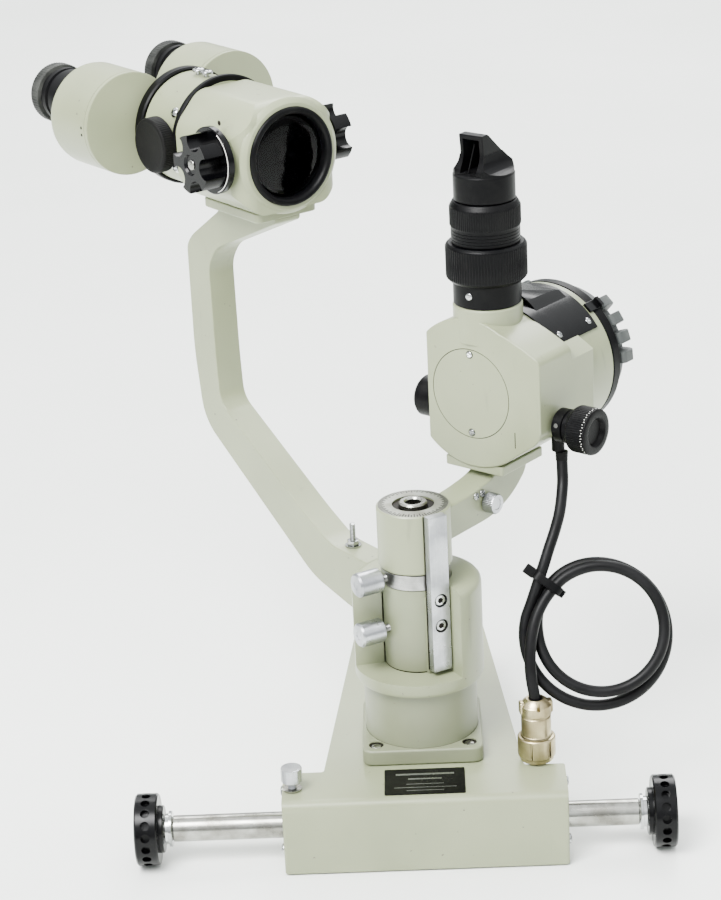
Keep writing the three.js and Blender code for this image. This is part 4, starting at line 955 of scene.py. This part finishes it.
def make_lamp():
    z = LAMP_Z
    at = (0, 0, z)
    left = math.degrees(math.acos(-31 / 44.6))
    top = arc(44.6, left, 62, 30)
    outline = top + quad(top[-1], (30, z + 37), (43.3, z + 30)) + quad((43.3, z + 30), (48.3, z + 28),
        (48.3, z + 24))
    outline += [(48.3, z - 14)] + quad((48.3, z - 14), (48.3, z - 19), (43.3, z - 24))
    outline += arc(44.6, math.degrees(-0.86), -left, 36)
    shell = softened(prism(outline, "xz", 57, 111), 1.0, 3, 40)
    drum = lathe([(44.6, 109), (44.6, 136.4), (44, 137)], "y", at, 192)
    drum = cut(drum, block((-60, -31), (0, 105), (150, 320)))
    neck = lathe([(20, z + 30), (20, 289.4), (19, 290.4)], "z", (0, BARREL_Y, 0), 128)
    step = prism([(20, z + 60), (20, z + 26.4), (37, z + 26.4), (50, z + 19), (60, z + 19), (60, z + 60)],
        "xz", 88.2, 112)
    step = cut(step, rod(44.6, 80, 130, "y", at, 192))
    shell = join(cut(shell, step), drum, neck)
    boss = turned([(2.6, 209), (3.5, 209), (3.7, 209.3), (3.7, 219), (3.3, 220.2), (2.6, 220.4)], "z",
        (47.3, 75.2, 0), 48)
    placed(boss, "lead_outlet", LAMP, MATT, slot="rubber")
    hollow = cut(rod(38, 61, 138, "y", at, 96), block((-60, -27), (0, 111), (150, 320)))
    shell = cut(shell, hollow, rod(14, z, 300, "z", (0, BARREL_Y, 0), 64), rod(3.3, -60, 60, "x",
        SLIT_SHAFT, 32), pipe(26.95, 26.45, 56, 57.5, "y", at, 128))
    placed(shell, "lamp_shell", LAMP, CREAM, "lamp_housing")
    # Near-black ring in the groove round the lamp cover: painted shade.
    placed(pipe(26.9, 26.5, 57.25, 57.5, "y", at, 128), "lamp_cover_seam", LAMP, DARK_AND_SHADE)
    heads = [screw(1.9, 0.8, (0, 57, z + dz), (0, -1, 0), roll=30 + dz) for dz in (-23.6, 23.6)]
    placed(heads, "lamp_cover_screws", LAMP, CHROME)
    shade = gathered([pipe(2.35, 1.8, 56.9, 57.2, "y", (0, 0, z + dz), 32) for dz in (-23.6, 23.6)])
    placed(shade, "lamp_cover_screw_rims", LAMP, DARK_AND_SHADE)
    placed(block((30.2, 30.75), (56.94, 57.2), (212.5, 222)), "lamp_index_line", LAMP, MARK)

    plate = softened(prism(arc(45.7, 34, 146, 60) + arc(44.65, 146, 34, 60), "xz", 88.4, 131.0), 0.3, 2, 50)
    rise = []
    for k in range(41):
        a = 64 + 52 * k / 40
        r = 45.5 + 4.6 * math.sin(math.pi * k / 40) ** 1.4
        x, h = polar(r, a)
        rise.append((x, z + h))
    hood = prism(rise + arc(45.0, 116, 64, 40), "xz", 96.4, 127)
    hood = keep(hood, prism([(90, z), (130, z), (130, z + 44.6), (98.5, z + 51)], "yz", -40, 40))
    mouth = prism(arc(47.4, 76, 104, 16) + arc(44, 104, 76, 16), "xz", 95, 104)
    hood = softened(cut(hood, mouth), 0.5, 3, 35)
    placed([plate, hood], "lamp_top_plate", LAMP, GLOSS, slot="black_enamel")
    heads = []
    for a, y in ((41, 97), (41, 126), (139, 97), (139, 126)):
        level, rise = polar(1, a)
        way = Vector((level, 0, rise))
        heads.append(screw(2.0, 1.1, Vector((0, y, z)) + 45.6 * way, way, roll=a + y))
    placed(heads, "lamp_plate_screws", LAMP, CHROME)
    latch = softened(join(block(3.2, (132.8, 143.6), (z + 44.2, z + 46.2)), block(3.2, (141.6, 144.4),
        (z + 43.4, z + 48.6))), 0.5, 2)
    latch = shifted(spun(shifted(latch, 0, 0, -z), 40, "Y"), 0, 0, z)
    placed(latch, "lamp_latch", LAMP, GLOSS)
    ring = lathe([(43.8, 137.3), (44.6, 138.0), (44.6, 143.7), (43.7, 144.8), (41.3, 144.8), (41.3, 143)],
        "y", at, 192, bore=36)
    placed(ring, "lamp_end_ring", LAMP, SATIN, "lamp_rear_ring", slot="black_enamel")

    sink = lathe([(35.7, 138), (35.7, 143.3), (41, 143.3), (41, 146.3), (38, 146.6), (38, 156.6),
        (37.2, 158), (34, 160)], "y", at, 144)
    fins = []
    for side in (0, 180):
        for angle in (49, 34, 19, 4):
            fin = prism(rounded([(36, 145.5), (45.2, 145.5, 1), (46.5, 147.5, 1.5), (46.5, 155, 2),
                (44, 157, 2), (36, 157)], 5), "xy", -3.4, 3.4)
            fin = softened(fin, 0.6, 2, 50)
            fins.append(shifted(spun(fin, side + (angle if side else -angle), "Y"), 0, 0, z))
    sink = cut(join(sink, *fins), block(60, (130, 170), (180, 197)))
    placed(sink, "cooling_cap", LAMP, SINK, "heat_sink")


def make_barrel():
    at = (0, BARREL_Y, 0)
    base = lathe([(19.2, 290.7), (19.5, 291), (19.5, 303.5), (19.2, 303.8), (15.5, 303.8), (15.5, 351)],
        "z", at, 128, bore=11)
    placed(base, "barrel_sleeve", LAMP, SATIN, "barrel_tube", slot="black_enamel")
    out, _ = bearing(4)
    spot = Vector((0, BARREL_Y, 298.2)) + 19.3 * Vector((out.x, out.y, 0))
    placed(screw(2.1, 0.9, spot, (out.x, out.y, 0), "slot", 10), "barrel_screw", LAMP, CHROME)
    ring = lathe([(21.2, 304.2), (22.8, 305.8), (22.9, 306.2), (23.3, 306.7), (23.3, 315), (23.3, 324.2),
        (22.9, 324.8), (22.7, 325.2), (21.6, 326.2)], "z", at, bore=15.8, ribs=(84, 0.45, 23.0, 306.5,
        324.5))
    placed(ring, "aperture_grip", "aperture", KNURL, "aperture_ring", slot="black_enamel")
    fine = [(15.8, 326.6), (19.4, 326.6), (19.7, 326.9)]
    for k in range(4):
        low = 328.4 + 1.8 * k
        fine += [(19.7, low), (19.4, low + 0.15), (19.4, low + 0.45), (19.7, low + 0.6)]
    fine += [(19.7, 335.8), (20.0, 336.2), (20.3, 336.7), (20.3, 347.2), (20.0, 347.7), (19.8, 348.2),
        (18.4, 350.5), (18.0, 350.8), (15.8, 350.8)]
    ring = turned(fine, "z", at, ribs=(90, 0.36, 20.25, 336.5, 347.4))
    placed(ring, "filter_grip", "filter", KNURL, "filter_ring", slot="black_enamel")

    cap = lathe([(17.3, 351.4), (17.6, 351.7), (17.6, 365.7), (17.3, 366.2), (16.4, 366.9), (14.5, 367.4)],
        "z", at, 128, bore=9)
    y = BARREL_Y
    cheek = rounded([(y - 14.2, 365), (y + 16.9, 365), (y + 16.6, 369, 1.4), (y + 14.6, 371.2, 3),
        (y - 5.6, 389.6, 0.6), (y - 11.6, 389.6, 0.8), (y - 10.4, 377, 9), (y - 14.6, 369, 5)], 9)
    roof = softened(prism(cheek, "yz", -8, 8), 0.55, 3, 40)
    pocket = prism([(y - 30, 368), (y + 10.2, 368), (y - 9, 387), (y - 30, 387)], "yz", -5.6, 5.6)
    web = prism([(y - 11.2, 384.6), (y - 10.6, 384.6), (y - 12.4, 367.6), (y - 13.2, 367.6)], "yz", -0.3,
        0.3)
    web = shifted(spun(shifted(web, 0, 0, -376), 12, "Y"), 0.6, 0, 376)
    flare = [(8.2, 378), (8.7, 374), (10, 371), (12.6, 368.6), (17, 367), (17, 364)]
    flare = prism([(-x, h) for x, h in flare] + [(x, h) for x, h in reversed(flare)], "xz", 60, 93)
    flare = keep(flare, rod(17.2, 364, 382, "z", at, 128), prism(cheek, "yz", -19, 19))
    head = cut(join(cap, roof, flare), pocket, rod(9, 350, 367.2, "z", at, 64))
    placed(head, "mirror_carrier", LAMP, SATIN, "mirror_head", slot="black_enamel")
    placed(web, "mirror_web", LAMP, SATIN, slot="steel")
    slope = Vector((0, 18.4, 20.2)).normalized()
    heads = [screw(1.1, 0.4, (x, y + 11.0, 374.4), slope, "slot", 30) for x in (-5, 5)]
    placed(heads, "mirror_screws", LAMP, DARK_AND_SHADE, slot="steel")

    at = SLIT_SHAFT
    knob = turned([(0, -37), (3, -37), (3, 49), (4.6, 49), (4.6, 51.4), (9.2, 51.4), (9.8, 52), (9.8, 57.6),
        (8.8, 57.9), (8.8, 58.9), (9.8, 59.2), (9.8, 61.2), (11, 62), (12.7, 63), (13.4, 64.2), (13.5, 65),
        (13.5, 74.6), (13.1, 75.6), (12, 76.2), (8.9, 76.2), (8.2, 75.8), (7, 73.6), (0, 73.4)], "x", at,
        ribs=(64, 0.4, 13.45, 64.6, 75))
    collar_screw = aimed(rod(1.3, 8.6, 9.84, sides=24), (54.8, *SLIT_SHAFT[1:]), (0, -0.96, 0.28))
    placed(knob, "slit_grip_right", "slit_width", KNURL, "slit_knob_right")
    placed(collar_screw, "slit_set_screw", "slit_width", STEEL)
    ticks = []
    for k in range(52):
        tick = block((73.7 + 0.5 * (k % 2), 74.2 + 0.5 * (k % 2)), 0.16, (12.9, 13.53))
        tick = moved(tick, Matrix.Rotation(2 * math.pi * k / 52, 4, "X"))
        ticks.append(shifted(tick, *at))
    placed(ticks, "slit_scale", "slit_width", WHITE)
    knob = turned([(0, -37.4), (0, -45), (10, -45), (11.2, -44.6), (12.2, -43.4), (12.2, -33.6),
        (11.8, -33), (3.3, -33), (3.3, -37.4)], "x", at, ribs=(52, 0.5, 12.1, -43.2, -33.8))
    placed(knob, "slit_grip_left", "slit_width", KNURL, "slit_knob_left")


make_head()
make_binocular()
make_lamp()
make_barrel()

for name, finish in {
    "glide_plate": MATT, "drive_belt": RUBBER, "lead_screw": STEEL, "joystick_pulley": SATIN,
    "joystick_gimbal": STEEL, "magnification_drum": MATT, "lamp_bulb": LENS, "condenser_lens": LENS,
    "lamp_mirror": MIRROR,
}.items():
    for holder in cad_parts[name].material_slots:
        holder.material = finish


# ---- floor and light
def make_stage():
    floor = made([(-6, -4, -0.0002), (6, -4, -0.0002), (6, 12, -0.0002), (-6, 12, -0.0002)], [(0, 1, 2, 3)])
    floor.name = "floor"
    mat, nodes, links, bsdf = shader("floor", {"Roughness": 0.55})
    cloud = noise(nodes, links, 3, detail=4)
    links.new(ramp(nodes, links, cloud, [(0.3, linear(236, 239, 234)), (0.7, linear(243, 245, 241))]),
        bsdf.inputs["Base Color"])
    floor.data.materials.append(mat)
    world = bpy.data.worlds.new("studio")
    world.use_nodes = True
    nodes, links = world.node_tree.nodes, world.node_tree.links
    sky = nodes["Background"]
    place, axes = nodes.new("ShaderNodeTexCoord"), nodes.new("ShaderNodeSeparateXYZ")
    links.new(place.outputs["Generated"], axes.inputs["Vector"])
    height = ramp(nodes, links, axes.outputs["Z"], [(0.0, grey(0.22)), (0.3, grey(0.5)), (0.6, grey(1.0))])
    links.new(mixed(nodes, links, 1.0, height, (0.96, 0.99, 1.0, 1), "MULTIPLY"), sky.inputs["Color"])
    sky.inputs["Strength"].default_value = 2.45
    bpy.context.scene.world = world
    for name, place, target, size, power in (
            ("key", (-0.8, -1.2, 2.1), (0, 0.1, 0.1), 1.2, 132),
            ("near", (-0.35, -0.4, 0.95), (-0.12, 0.12, 0.37), 0.4, 9),
            ("fill", (1.7, -1.4, 1.5), (0, 0, 0.25), 1.4, 5),
            ("back", (0.4, 2.4, 2.4), (0, 0.9, 0.0), 1.8, 120)):
        data = bpy.data.lights.new(name, "AREA")
        data.size = size
        data.energy = power
        lamp = bpy.data.objects.new(name, data)
        lamp.location = place
        lamp.rotation_euler = (Vector(target) - Vector(place)).to_track_quat("-Z", "Y").to_euler()
        bpy.context.collection.objects.link(lamp)


make_stage()
